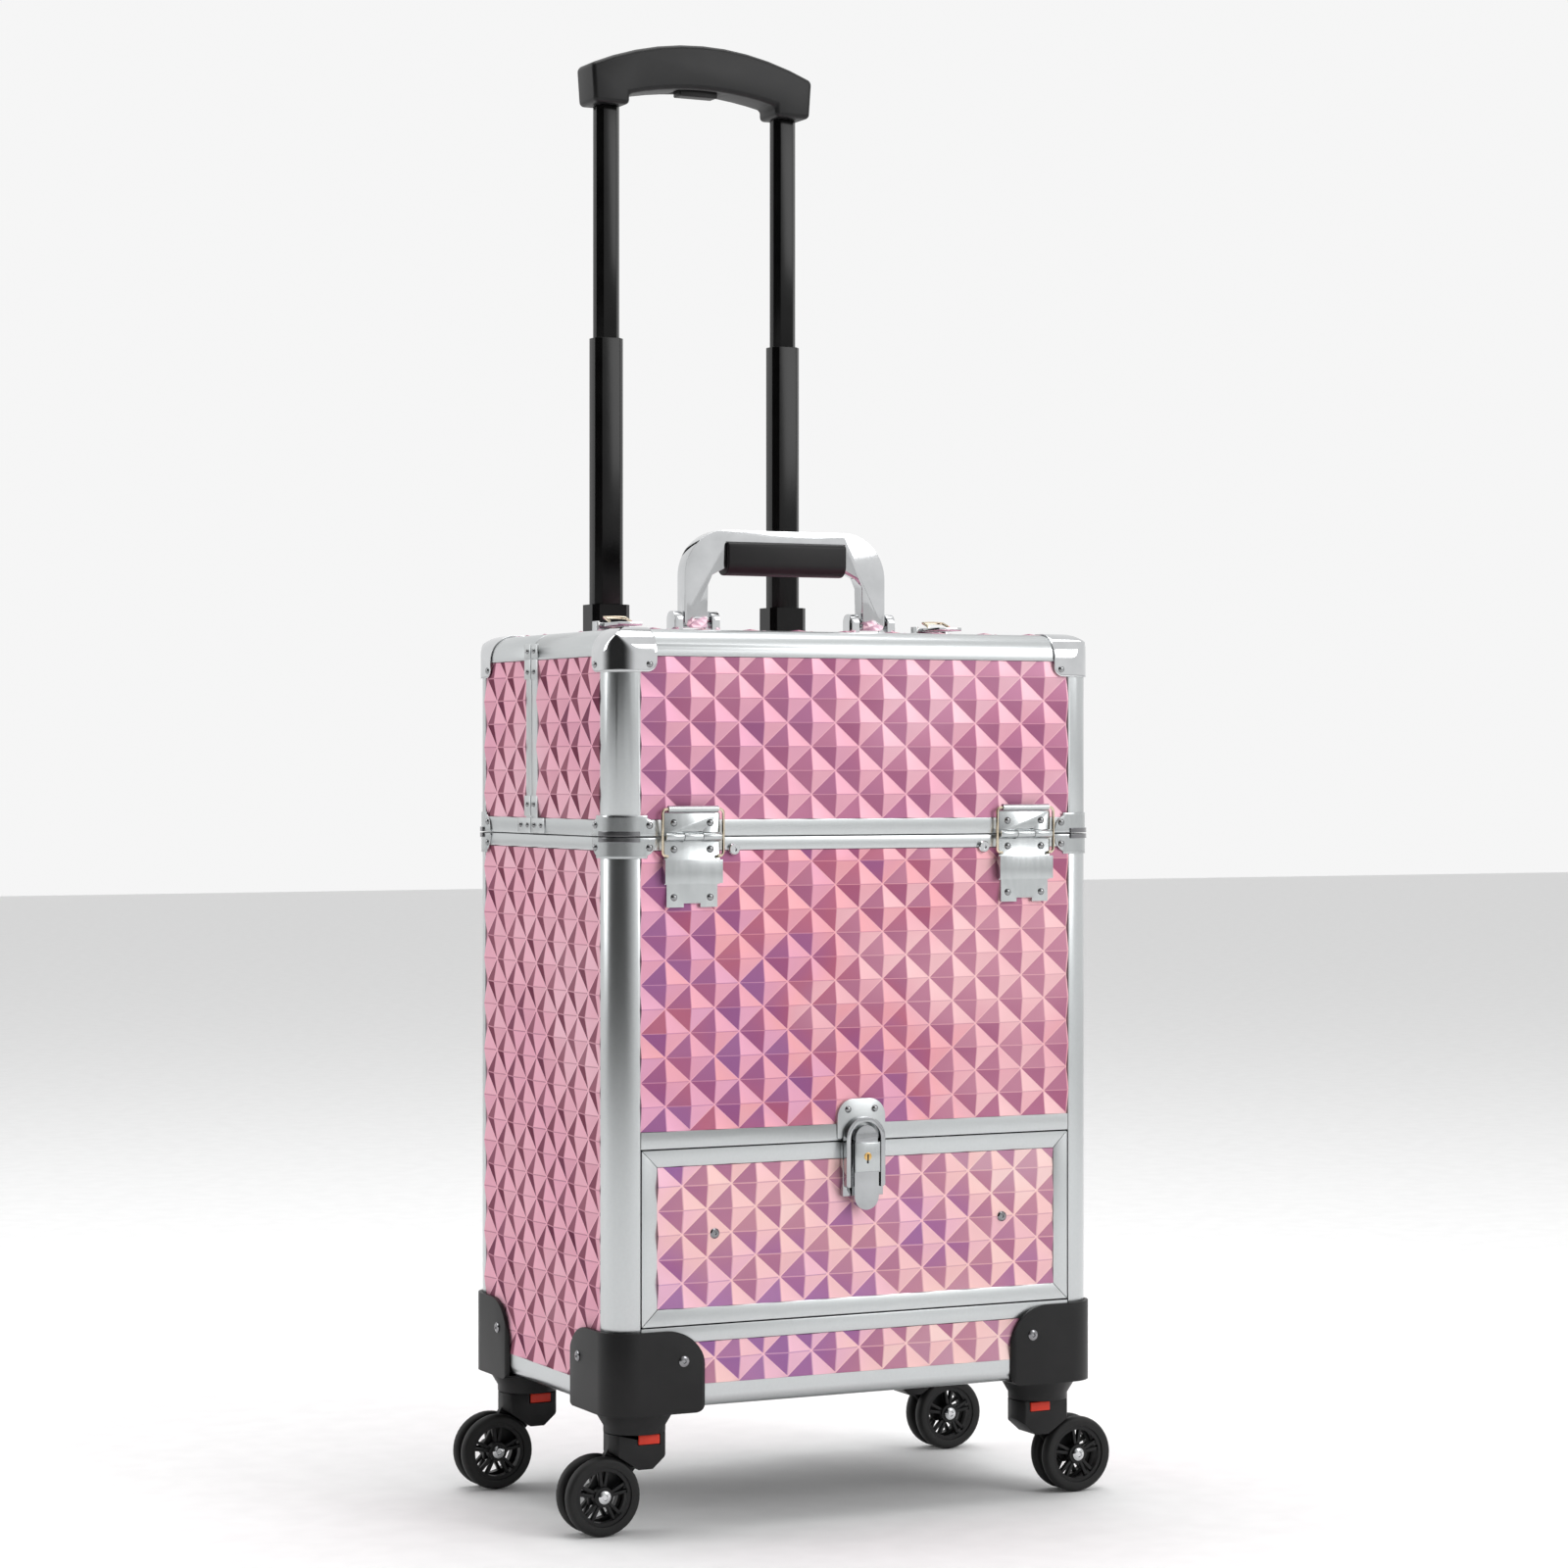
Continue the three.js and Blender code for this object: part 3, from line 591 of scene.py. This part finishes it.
def wrap_plate(corner, low, high, reach, proud, name, material, body):
    """A thin plate wrapped round a post; reach(height 0..1) is how far it runs on each face."""
    r = EDGE_RADIUS
    rows = 8
    arc_steps = 10
    bm = bmesh.new()
    grid = []
    for j in range(rows + 1):
        t = j / rows
        end = reach(t)
        z = low + (high - low) * t
        line = [(end, -proud), ((end + r) / 2, -proud)]
        for k in range(arc_steps + 1):
            a = math.pi / 2 * k / arc_steps
            line.append((r - (r + proud) * math.sin(a), r - (r + proud) * math.cos(a)))
        line += [(-proud, (end + r) / 2), (-proud, end)]
        grid.append([bm.verts.new(corner_point(corner, x, y, z)) for x, y in line])
    for lower, upper in zip(grid, grid[1:]):
        for k in range(len(lower) - 1):
            bm.faces.new([lower[k], lower[k + 1], upper[k + 1], upper[k]])
    made = from_bmesh(name, bm, material, body)
    thicken(made, proud + 0.2 * MM, corner_point(corner, 60 * MM, 60 * MM, low))
    return made


def thicken(made, depth, inside):
    """Gives a sheet a thickness towards the point inside."""
    mesh = made.data
    face = mesh.polygons[len(mesh.polygons) // 2]
    inward = (inside - face.center).dot(face.normal) > 0
    solid = made.modifiers.new("thickness", "SOLIDIFY")
    solid.thickness = depth
    solid.offset = 1.0 if inward else -1.0
    round_off = made.modifiers.new("edge", "BEVEL")
    round_off.width = 0.25 * MM
    round_off.segments = 2
    round_off.limit_method = "ANGLE"
    round_off.angle_limit = math.radians(50)


def ball_corner(corner, body):
    """A polished cap over a top corner of the case."""
    reach = 31.5 * MM
    drop = 28.5 * MM
    proud = 1.1 * MM
    r = 17 * MM
    steps = 16
    bm = bmesh.new()

    def surface(x, y, z):
        held = Vector((max(x, r), max(y, r), max(z, r)))
        away = (Vector((x, y, z)) - held).normalized()
        flattest = min(abs(away.x), abs(away.y), abs(away.z))
        return held + away * (r / math.sqrt(1 - flattest * flattest) + proud)

    def rounded(a, b, limit_a, limit_b):
        """Rounds off the far corner of a face of the cap."""
        corner_radius = 7 * MM
        over_a = a - (limit_a - corner_radius)
        over_b = b - (limit_b - corner_radius)
        if over_a > 0 and over_b > 0:
            scale = max(over_a, over_b) / math.hypot(over_a, over_b)
            return (limit_a - corner_radius + over_a * scale,
                    limit_b - corner_radius + over_b * scale)
        return a, b

    for face in range(3):
        limits = [(reach, drop), (reach, drop), (reach, reach)][face]
        grid = []
        for i in range(steps + 1):
            line = []
            for j in range(steps + 1):
                a, b = rounded(limits[0] * i / steps, limits[1] * j / steps, *limits)
                spot = [(a, 0, b), (0, a, b), (a, b, 0)][face]
                where = surface(*spot)
                line.append(bm.verts.new(corner_point(corner, where.x, where.y, TOP - where.z)))
            grid.append(line)
        for i in range(steps):
            for j in range(steps):
                ring = [grid[i][j], grid[i + 1][j], grid[i + 1][j + 1], grid[i][j + 1]]
                bm.faces.new(ring)
    bmesh.ops.remove_doubles(bm, verts=bm.verts, dist=0.05 * MM)
    bmesh.ops.dissolve_degenerate(bm, dist=0.02 * MM, edges=bm.edges)
    made = from_bmesh(corner + "_ball_corner", bm, CHROME, body, 40.0)
    thicken(made, 0.9 * MM, corner_point(corner, 60 * MM, 60 * MM, TOP - 60 * MM))


def lid_plate_reach(height):
    """An ogee outline: wide at the seam, narrower at the far edge."""
    return 24.5 * MM + 7 * MM * math.cos(math.pi / 2 * min(1, height * 1.15)) ** 0.6


def base_plate_reach(height):
    """The same outline, upside down."""
    return lid_plate_reach(1 - height)


def ring_reach(height):
    """A ring reaches equally far at every height."""
    return 19 * MM


def corner_hardware():
    """Ball corners, and a plate and a ring each side of the seam, on every corner."""
    for corner in CORNERS:
        lid_body = "front_lid" if corner.startswith("front") else "case"
        ball_corner(corner, lid_body)
        wrap_plate(corner, SEAM + 0.6 * MM, SEAM + PLATE_TALL, lid_plate_reach, 0.9 * MM,
                   corner + "_lid_corner_plate", STEEL, lid_body)
        wrap_plate(corner, SEAM - PLATE_TALL, SEAM - 0.6 * MM, base_plate_reach, 0.9 * MM,
                   corner + "_base_corner_plate", STEEL, "case")
        wrap_plate(corner, SEAM + 0.4 * MM, SEAM + 3.6 * MM, ring_reach, 1.9 * MM,
                   corner + "_lid_ring", DARK_CHROME, lid_body)
        wrap_plate(corner, SEAM - 3.6 * MM, SEAM - 0.4 * MM, ring_reach, 1.9 * MM,
                   corner + "_base_ring", DARK_CHROME, "case")


def rivets():
    """All rivet heads, one piece for each body that carries some."""
    groups = {"case": bmesh.new(), "front_lid": bmesh.new()}
    corner_rivets(groups)
    split_rivets(groups)
    hinge_rivets(groups)
    keeper_rivets(groups["case"])
    for body, bm in groups.items():
        from_bmesh(body + "_rivets", bm, RIVET, body)


def rivet(bm, where, axis, radius=RIVET_RADIUS):
    """Adds one rivet head."""
    add_dome(bm, where, axis, radius, RIVET_RISE)


def corner_rivets(groups):
    """A rivet in both faces of each ball corner and of each corner plate."""
    inward = 26 * MM
    proud = -0.9 * MM
    for corner, (sign_x, sign_y) in CORNERS.items():
        lid_body = "front_lid" if sign_y < 0 else "case"
        for body, z in ((lid_body, TOP - 23.5 * MM), (lid_body, SEAM + 7.5 * MM),
                        ("case", SEAM - 7 * MM)):
            rivet(groups[body], corner_point(corner, inward, proud, z), (0, sign_y, 0))
            rivet(groups[body], corner_point(corner, proud, inward, z), (sign_x, 0, 0))


def split_rivets(groups):
    """Small rivets in the plates where the lid halves meet."""
    small = 1.8 * MM
    near = 5.5 * MM
    far = 18 * MM
    halves = (("front_lid", -1), ("case", 1))
    for sign in SIDES.values():
        x = (LEFT if sign < 0 else RIGHT) + sign * 0.8 * MM
        for body, way in halves:
            for z in (TOP - 12 * MM, TOP - 26 * MM, SEAM + 6 * MM, SEAM + 20 * MM):
                rivet(groups[body], Vector((x, SPLIT + way * near, z)), (sign, 0, 0), small)
        for body, way in halves:
            spot = Vector((x, SPLIT + way * far, SEAM + 6 * MM))
            rivet(groups[body], spot, (sign, 0, 0), small)


def hinge_rivets(groups):
    """A pair of rivets in each upper leaf, and two pairs in each lower leaf."""
    face = FRONT - 2.2 * MM
    for side in SIDES:
        low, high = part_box(side + "_hinge_upper_leaf")
        middle = (low.x + high.x) / 2
        for x in (middle - 13 * MM, middle + 13 * MM):
            for body, z in (("front_lid", SEAM + 9 * MM), ("case", SEAM - 8.2 * MM),
                            ("case", SEAM - 39.5 * MM)):
                rivet(groups[body], Vector((x, face, z)), (0, -1, 0))


def keeper_rivets(bm):
    """A pair of rivets in the keeper of the drawer lock."""
    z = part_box("drawer_upper_rail")[1].z - 7 * MM
    for x in (-10 * MM, 10 * MM):
        rivet(bm, Vector((x, FRONT - 1.8 * MM, z)), (0, -1, 0))


def split_plates():
    """Small plates where the lid halves' profiles meet at the split."""
    near, far = 0.6 * MM, 11.5 * MM
    foot = far + 12 * MM
    rounding = 0.35 * MM
    halves = (("front", "front_lid", -1), ("rear", "case", 1))
    for side, sign in SIDES.items():
        face = LEFT if sign < 0 else RIGHT
        x0, x1 = sorted((face + sign * 0.8 * MM, face - sign * 0.3 * MM))
        for name, body, way in halves:
            y0, y1 = sorted((SPLIT + way * near, SPLIT + way * far))
            foot0, foot1 = sorted((SPLIT + way * near, SPLIT + way * foot))
            bm = bmesh.new()
            add_box(bm, (x0, y0, TOP - 31 * MM), (x1, y1, TOP - 17.5 * MM), rounding)
            add_box(bm, (x0, y0, TOP - 17 * MM), (x1, y1, TOP - 7 * MM), rounding)
            add_box(bm, (x0, y0, SEAM + 12 * MM), (x1, y1, SEAM + 26 * MM), rounding)
            add_box(bm, (x0, foot0, SEAM + 0.8 * MM), (x1, foot1, SEAM + 11 * MM), rounding)
            from_bmesh(f"{side}_{name}_split_plates", bm, SATIN, body)


# ---- hinges, latches and locks ----
def hinges():
    """Hinge leaves, and the wire stays with their rolled bars."""
    for side in SIDES:
        refine(side + "_hinge_upper_leaf", STEEL, 0.5 * MM, 2)
        refine(side + "_hinge_lower_leaf", STEEL, 0.6 * MM, 3)
        stay_wire(side)
        rolled_bar(side)


def stay_wire(side):
    """A wire loop that hangs from the rolled bar, open at the middle of its foot."""
    low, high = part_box(side + "_stay_wire")
    y = (low.y + high.y) / 2
    left = low.x + WIRE_RADIUS
    right = high.x - WIRE_RADIUS
    bar = SEAM + ROLLED_BAR
    foot = low.z + 0.9 * MM
    bend = 3 * MM
    route = [(left + 4 * MM, y, foot), (left + bend, y, foot)]
    route += bend_points((left + bend, foot + bend), bend, 270, 180, y)
    route += [(left, y, bar - bend)]
    route += bend_points((left + bend, bar - bend), bend, 180, 90, y)
    mirrored = [(left + right - x, y, z) for x, y, z in reversed(route)]
    bm = bmesh.new()
    add_tube(bm, route + mirrored, WIRE_RADIUS)
    made = from_bmesh(side + "_stay_wire_finish", bm, WIRE, side + "_stay")
    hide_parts(side + "_stay_wire")


def rolled_bar(side):
    """The short bar that the stay wire hangs on."""
    low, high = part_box(side + "_stay_wire")
    radius = 2.2 * MM
    end = 5 * MM
    long = high.x - low.x - 2 * end
    bm = bmesh.new()
    add_lathe(bm, [(0, 0), (radius, 0), (radius, long), (0, long)],
              (low.x + end, (low.y + high.y) / 2, SEAM + ROLLED_BAR), (1, 0, 0), 20)
    from_bmesh(side + "_rolled_bar", bm, STEEL, side + "_stay")


def bend_points(centre, radius, start, end, y, steps=6):
    """Points of an arc in X and Z, between two angles in degrees."""
    points = []
    for k in range(1, steps):
        a = math.radians(start + (end - start) * k / steps)
        points.append((centre[0] + radius * math.cos(a), y, centre[1] + radius * math.sin(a)))
    return points


def screw_feet():
    """Small round feet beside the hinges, and the two screws in the drawer."""
    bm = bmesh.new()
    for sign in SIDES.values():
        centre = Vector((sign * 93.5 * MM, FRONT, SEAM - 8.5 * MM))
        add_lathe(bm, [(0, 0), (4 * MM, 0), (4 * MM, 1.6 * MM), (3.4 * MM, 2.4 * MM),
                       (1.6 * MM, 2.4 * MM), (1.4 * MM, 1.2 * MM), (0, 1.2 * MM)],
                  centre, (0, -1, 0), 20)
    from_bmesh("screw_feet", bm, CHROME, "case")
    bm = bmesh.new()
    low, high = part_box("drawer_panel")
    for sign in SIDES.values():
        centre = Vector((sign * 107.5 * MM, low.y - 1.2 * MM, (low.z + high.z) / 2 + 1.5 * MM))
        add_lathe(bm, [(0, -1 * MM), (3.4 * MM, -1 * MM), (3.4 * MM, 1.0 * MM),
                       (2.6 * MM, 1.8 * MM), (1.0 * MM, 1.9 * MM), (0.8 * MM, 1.2 * MM),
                       (0, 1.2 * MM)], centre, (0, -1, 0), 20)
    from_bmesh("drawer_screws", bm, DARK_CHROME, "drawer")


def drawer_lock():
    """Bail plate, and the lever with its cover plate and keyhole."""
    refine("drawer_lock_plate", SMOKED, 0.9 * MM, 3)
    lever = refine("drawer_lock_lever", SMOKED, 0.9 * MM, 3)
    low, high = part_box("drawer_lock_lever")
    flatter = 0.88  # leaves room for the lock's details inside the lever's box
    for vert in lever.data.vertices:
        vert.co.y = high.y + flatter * (vert.co.y - high.y)
    face = low.y
    bm = bmesh.new()
    add_box(bm, (-9.1 * MM, face + 0.45 * MM, high.z - 30.6 * MM),
            (9.1 * MM, face + 1 * MM, high.z - 11.4 * MM), 0.4 * MM)
    from_bmesh("lock_cover_plate", bm, STEEL, "drawer_lock")
    bm = bmesh.new()
    key_z = high.z - 20.5 * MM
    add_lathe(bm, [(0, -1 * MM), (2.7 * MM, -1 * MM), (2.7 * MM, -0.1 * MM),
                   (2.3 * MM, 0), (0, 0)], (0, face + 0.12 * MM, key_z), (0, -1, 0), 24)
    from_bmesh("lock_keyhole", bm, BRASS, "drawer_lock")
    # The key slot is a thin black box in the lining's colour, painted shade standing in for the
    # dark depth of the slot.
    bm = bmesh.new()
    add_box(bm, (-0.5 * MM, face, key_z - 4.6 * MM),
            (0.5 * MM, face + 0.4 * MM, key_z + 1.6 * MM), 0.05 * MM)
    from_bmesh("lock_key_slot", bm, LINING_AND_SLOT_SHADE, "drawer_lock")


def top_latches():
    """Levers with wire loops, and their keepers on the rear half."""
    for side in SIDES:
        refine(side + "_latch_lever", CHROME, 0.5 * MM, 2)
        low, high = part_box(side + "_latch_lever")
        middle = (low.x + high.x) / 2
        bm = bmesh.new()
        back = SPLIT - 1.2 * MM
        add_tube(bm, [(middle - 8 * MM, back - 18 * MM, high.z),
                      (middle - 8 * MM, back - 9 * MM, high.z + 3 * MM),
                      (middle, back - 8 * MM, high.z + 3.4 * MM),
                      (middle + 8 * MM, back - 9 * MM, high.z + 3 * MM),
                      (middle + 8 * MM, back - 18 * MM, high.z)], WIRE_RADIUS)
        from_bmesh(side + "_latch_loop", bm, WIRE, side + "_latch")
        bm = bmesh.new()
        add_box(bm, (middle - 10 * MM, SPLIT + 1 * MM, TOP - 0.3 * MM),
                (middle + 10 * MM, SPLIT + 16 * MM, TOP + 1.4 * MM), 0.4 * MM)
        add_box(bm, (middle - 6 * MM, SPLIT + 1 * MM, TOP),
                (middle + 6 * MM, SPLIT + 6 * MM, TOP + 8 * MM), 1.2 * MM)
        from_bmesh(side + "_latch_keeper", bm, CHROME, "case")


# ---- handles ----
def handles():
    """The carry handle and the trolley handle."""
    refine("carry_handle_bar", CHROME, 2.6 * MM, 4)
    refine("carry_handle_grip", GRIP, 1.0 * MM, 3)
    for side in SIDES:
        refine(side + "_handle_bracket", CHROME, 1.2 * MM, 3)
        for stage in ("outer", "middle", "inner"):
            refine(f"{side}_{stage}_tube", TUBE, 0.3 * MM, 2, 25.0)
        collar(side)
    refine("trolley_grip", GRIP, 5.5 * MM, 5)
    refine("trolley_button", GRIP, 1.0 * MM, 3)


def collar(side):
    """A moulded collar round the top of an outer trolley tube."""
    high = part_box(side + "_outer_tube")[1].z
    inner_low, inner_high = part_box(side + "_inner_tube")
    middle = (inner_low + inner_high) / 2
    wide, deep = 26 * MM, 22 * MM
    proud = 3.0 * MM
    tall = 30 * MM
    bore = 3.8 * MM
    cut_off = 4 * MM

    def ring(width, depth, z):
        x, y = width / 2, depth / 2
        spots = [(cut_off - x, -y), (x - cut_off, -y), (x, cut_off - y), (x, y - cut_off),
                 (x - cut_off, y), (cut_off - x, y), (-x, y - cut_off), (-x, cut_off - y)]
        return [bm.verts.new((middle.x + a, middle.y + b, z)) for a, b in spots]

    bm = bmesh.new()
    top = high + 0.6 * MM
    step = high - 1 * MM
    fit = 0.1 * MM
    levels = [ring(wide + proud, deep + proud, top - tall), ring(wide + proud, deep + proud, top),
              ring(wide - bore, deep - bore, top), ring(wide - bore, deep - bore, step),
              ring(wide + fit, deep + fit, step), ring(wide + fit, deep + fit, top - tall)]
    for here, after in zip(levels, levels[1:] + levels[:1]):
        for k in range(8):
            bm.faces.new([here[k], here[(k + 1) % 8], after[(k + 1) % 8], after[k]])
    from_bmesh(side + "_outer_collar", bm, TUBE, "case", 25.0)


# ---- casters ----
def wheel_profile():
    """Section of a tyre with a rounded tread, from its inner side round to itself."""
    r = WHEEL_RADIUS
    half = 4.3 * MM
    inner = 19.5 * MM
    arc = []
    for k in range(9):
        a = math.pi * (k / 8 - 0.5)
        arc.append((r - 2.6 * MM + 2.6 * MM * math.cos(a), half * math.sin(a)))
    return [(inner, -half + 0.8 * MM)] + arc + [(inner, half - 0.8 * MM),
                                                 (inner - 0.8 * MM, 0), (inner, -half + 0.8 * MM)]


def add_spoke(bm, centre, angle):
    """Adds a wheel spoke, at an angle in degrees round the axle."""
    spoke = bmesh.new()
    add_box(spoke, (-1.1 * MM, -1.9 * MM, 5 * MM), (1.1 * MM, 1.9 * MM, 17.6 * MM), 0.4 * MM)
    turn = Matrix.Rotation(math.radians(angle), 4, "Y")
    spoke.transform(Matrix.Translation(centre) @ turn)
    mesh = bpy.data.meshes.new("spoke")
    spoke.to_mesh(mesh)
    spoke.free()
    bm.from_mesh(mesh)
    bpy.data.meshes.remove(mesh)


def add_rim(bm, centre):
    """Adds a wheel's rim and hub, and five pairs of spokes between them."""
    inner, outer, half = 16.8 * MM, 19.4 * MM, 2.6 * MM
    add_lathe(bm, [(inner, -half), (outer, -half), (outer, half), (inner, half),
                   (inner, -half)], centre, (0, 1, 0), 48)
    hub = 6.5 * MM
    end = 3.2 * MM
    add_lathe(bm, [(0, -end), (hub, -end), (hub + 0.5 * MM, 0), (hub, end), (0, end)],
              centre, (0, 1, 0), 24)
    for k in range(10):
        lean = 9 if k % 2 else -9
        add_spoke(bm, centre, 72 * (k // 2) + lean)


def caster_wheels(corner):
    """Two spoked wheels with tyres, hubs and axle bolts."""
    low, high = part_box(corner + "_wheels")
    centre = (low + high) / 2
    body = corner + "_wheelset"
    tyres, rims, bolts = bmesh.new(), bmesh.new(), bmesh.new()
    for sign in SIDES.values():
        middle = centre + Vector((0, sign * WHEEL_SPREAD, 0))
        add_lathe(tyres, wheel_profile(), middle, (0, 1, 0), 48)
        add_rim(rims, middle)
        add_lathe(bolts, [(0, -8 * MM), (2.4 * MM, -8 * MM), (4.4 * MM, 3.2 * MM),
                          (4.4 * MM, 4.3 * MM), (3.6 * MM, 5.0 * MM), (2.0 * MM, 5.2 * MM),
                          (1.6 * MM, 4.5 * MM), (0, 4.5 * MM)], middle, (0, sign, 0), 24)
    tyre = from_bmesh(corner + "_tyres", tyres, TYRE, body)
    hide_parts(corner + "_wheels")
    from_bmesh(corner + "_rims", rims, PLASTIC, body)
    from_bmesh(corner + "_axle_bolts", bolts, CHROME, body)


def guard_screws(corner):
    """A screw in each face of a corner guard."""
    sign_x, sign_y = CORNERS[corner]
    inward = 49.5 * MM
    proud = -3 * MM
    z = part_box(corner + "_corner_guard")[1].z - 20 * MM
    bm = bmesh.new()
    for x, y, axis in ((inward, proud, (0, sign_y, 0)), (proud, inward, (sign_x, 0, 0))):
        add_lathe(bm, [(0, -1 * MM), (3.6 * MM, -1 * MM), (3.6 * MM, 0.5 * MM),
                       (2.8 * MM, 1.1 * MM), (1.4 * MM, 1.2 * MM), (1.0 * MM, 0.5 * MM),
                       (0, 0.5 * MM)], corner_point(corner, x, y, z), axis, 20)
    from_bmesh(corner + "_guard_screws", bm, DARK_CHROME, "case")


def casters():
    """Corner guards with screws, forks, tabs and wheels."""
    for corner in CORNERS:
        refine(corner + "_corner_guard", PLASTIC, 1.1 * MM, 3, 40.0)
        refine(corner + "_fork", PLASTIC, 0.8 * MM, 2, 40.0)
        refine(corner + "_release_tab", RED, 0.6 * MM, 3)
        caster_wheels(corner)
        guard_screws(corner)


# ---- studio ----
def studio():
    """Pale floor, white room and three soft lights."""
    bm = bmesh.new()
    bmesh.ops.create_grid(bm, x_segments=1, y_segments=1, size=12)
    mesh = bpy.data.meshes.new("floor")
    bm.to_mesh(mesh)
    bm.free()
    floor = bpy.data.objects.new("floor", mesh)
    bpy.context.collection.objects.link(floor)
    mesh.materials.append(plastic("floor_look", (0.90, 0.90, 0.90, 1), (0.93, 0.93, 0.93, 1),
                                  (0.6, 0.8), 20.0, 0.02))
    world = bpy.data.worlds.new("studio")
    bpy.context.scene.world = world
    room_light(world)
    softbox("key", (1.7, -2.5, 1.9), (1.2, 1.6), 25)
    softbox("side", (-2.6, 1.4, 1.6), (1.2, 1.8), 20)
    softbox("overhead", (0.2, 0.2, 3.2), (2.4, 2.4), 44)


def room_light(world):
    """A white room with one dark side, to the left of the front."""
    world.use_nodes = True
    tree = world.node_tree
    place = tree.nodes.new("ShaderNodeTexCoord")
    towards = tree.nodes.new("ShaderNodeVectorMath")
    towards.operation = "DOT_PRODUCT"
    towards.inputs[1].default_value = (-0.87, -0.47, 0.10)
    shade = tree.nodes.new("ShaderNodeMapRange")
    shade.interpolation_type = "SMOOTHSTEP"
    for name, value in (("From Min", 0.10), ("From Max", 0.90), ("To Min", 0.92), ("To Max", 0.03)):
        shade.inputs[name].default_value = value
    tree.links.new(place.outputs["Generated"], towards.inputs[0])
    tree.links.new(towards.outputs["Value"], shade.inputs["Value"])
    tree.links.new(shade.outputs["Result"], tree.nodes["Background"].inputs["Strength"])
    tree.nodes["Background"].inputs["Color"].default_value = (1, 1, 1, 1)


def aim(made, where):
    """Puts a light in place and turns it to the middle of the case."""
    made.location = where
    towards = Vector((0, 0, 0.45)) - Vector(where)
    made.rotation_euler = towards.to_track_quat("-Z", "Y").to_euler()


def softbox(name, where, size, power):
    """A rectangular soft light, with its size in metres and its power in watts."""
    light = bpy.data.lights.new(name, "AREA")
    light.shape = "RECTANGLE"
    light.size, light.size_y = size
    light.energy = power
    made = bpy.data.objects.new(name, light)
    bpy.context.collection.objects.link(made)
    aim(made, where)


def camera():
    """Level camera to the left of the front, at the photograph's angle."""
    yaw = math.radians(26.2)
    middle = Vector((0, (FRONT + BACK) / 2, 0))
    away = 2.659
    aside = 0.0022
    height = 0.502
    forward = Vector((math.sin(yaw), math.cos(yaw), 0))
    right = Vector((math.cos(yaw), -math.sin(yaw), 0))
    data = bpy.data.cameras.new("camera")
    data.sensor_width = 36
    data.lens = 88.0
    data.shift_y = -0.0125
    made = bpy.data.objects.new("camera", data)
    made.location = middle - forward * away + right * aside + Vector((0, 0, height))
    made.rotation_euler = (math.radians(90), 0, -yaw)
    bpy.context.collection.objects.link(made)
    bpy.context.scene.camera = made


camera()
panels()
profiles()
corner_hardware()
split_plates()
rivets()
hinges()
screw_feet()
drawer_lock()
top_latches()
handles()
casters()
studio()
bpy.context.scene.view_settings.view_transform = "Standard"
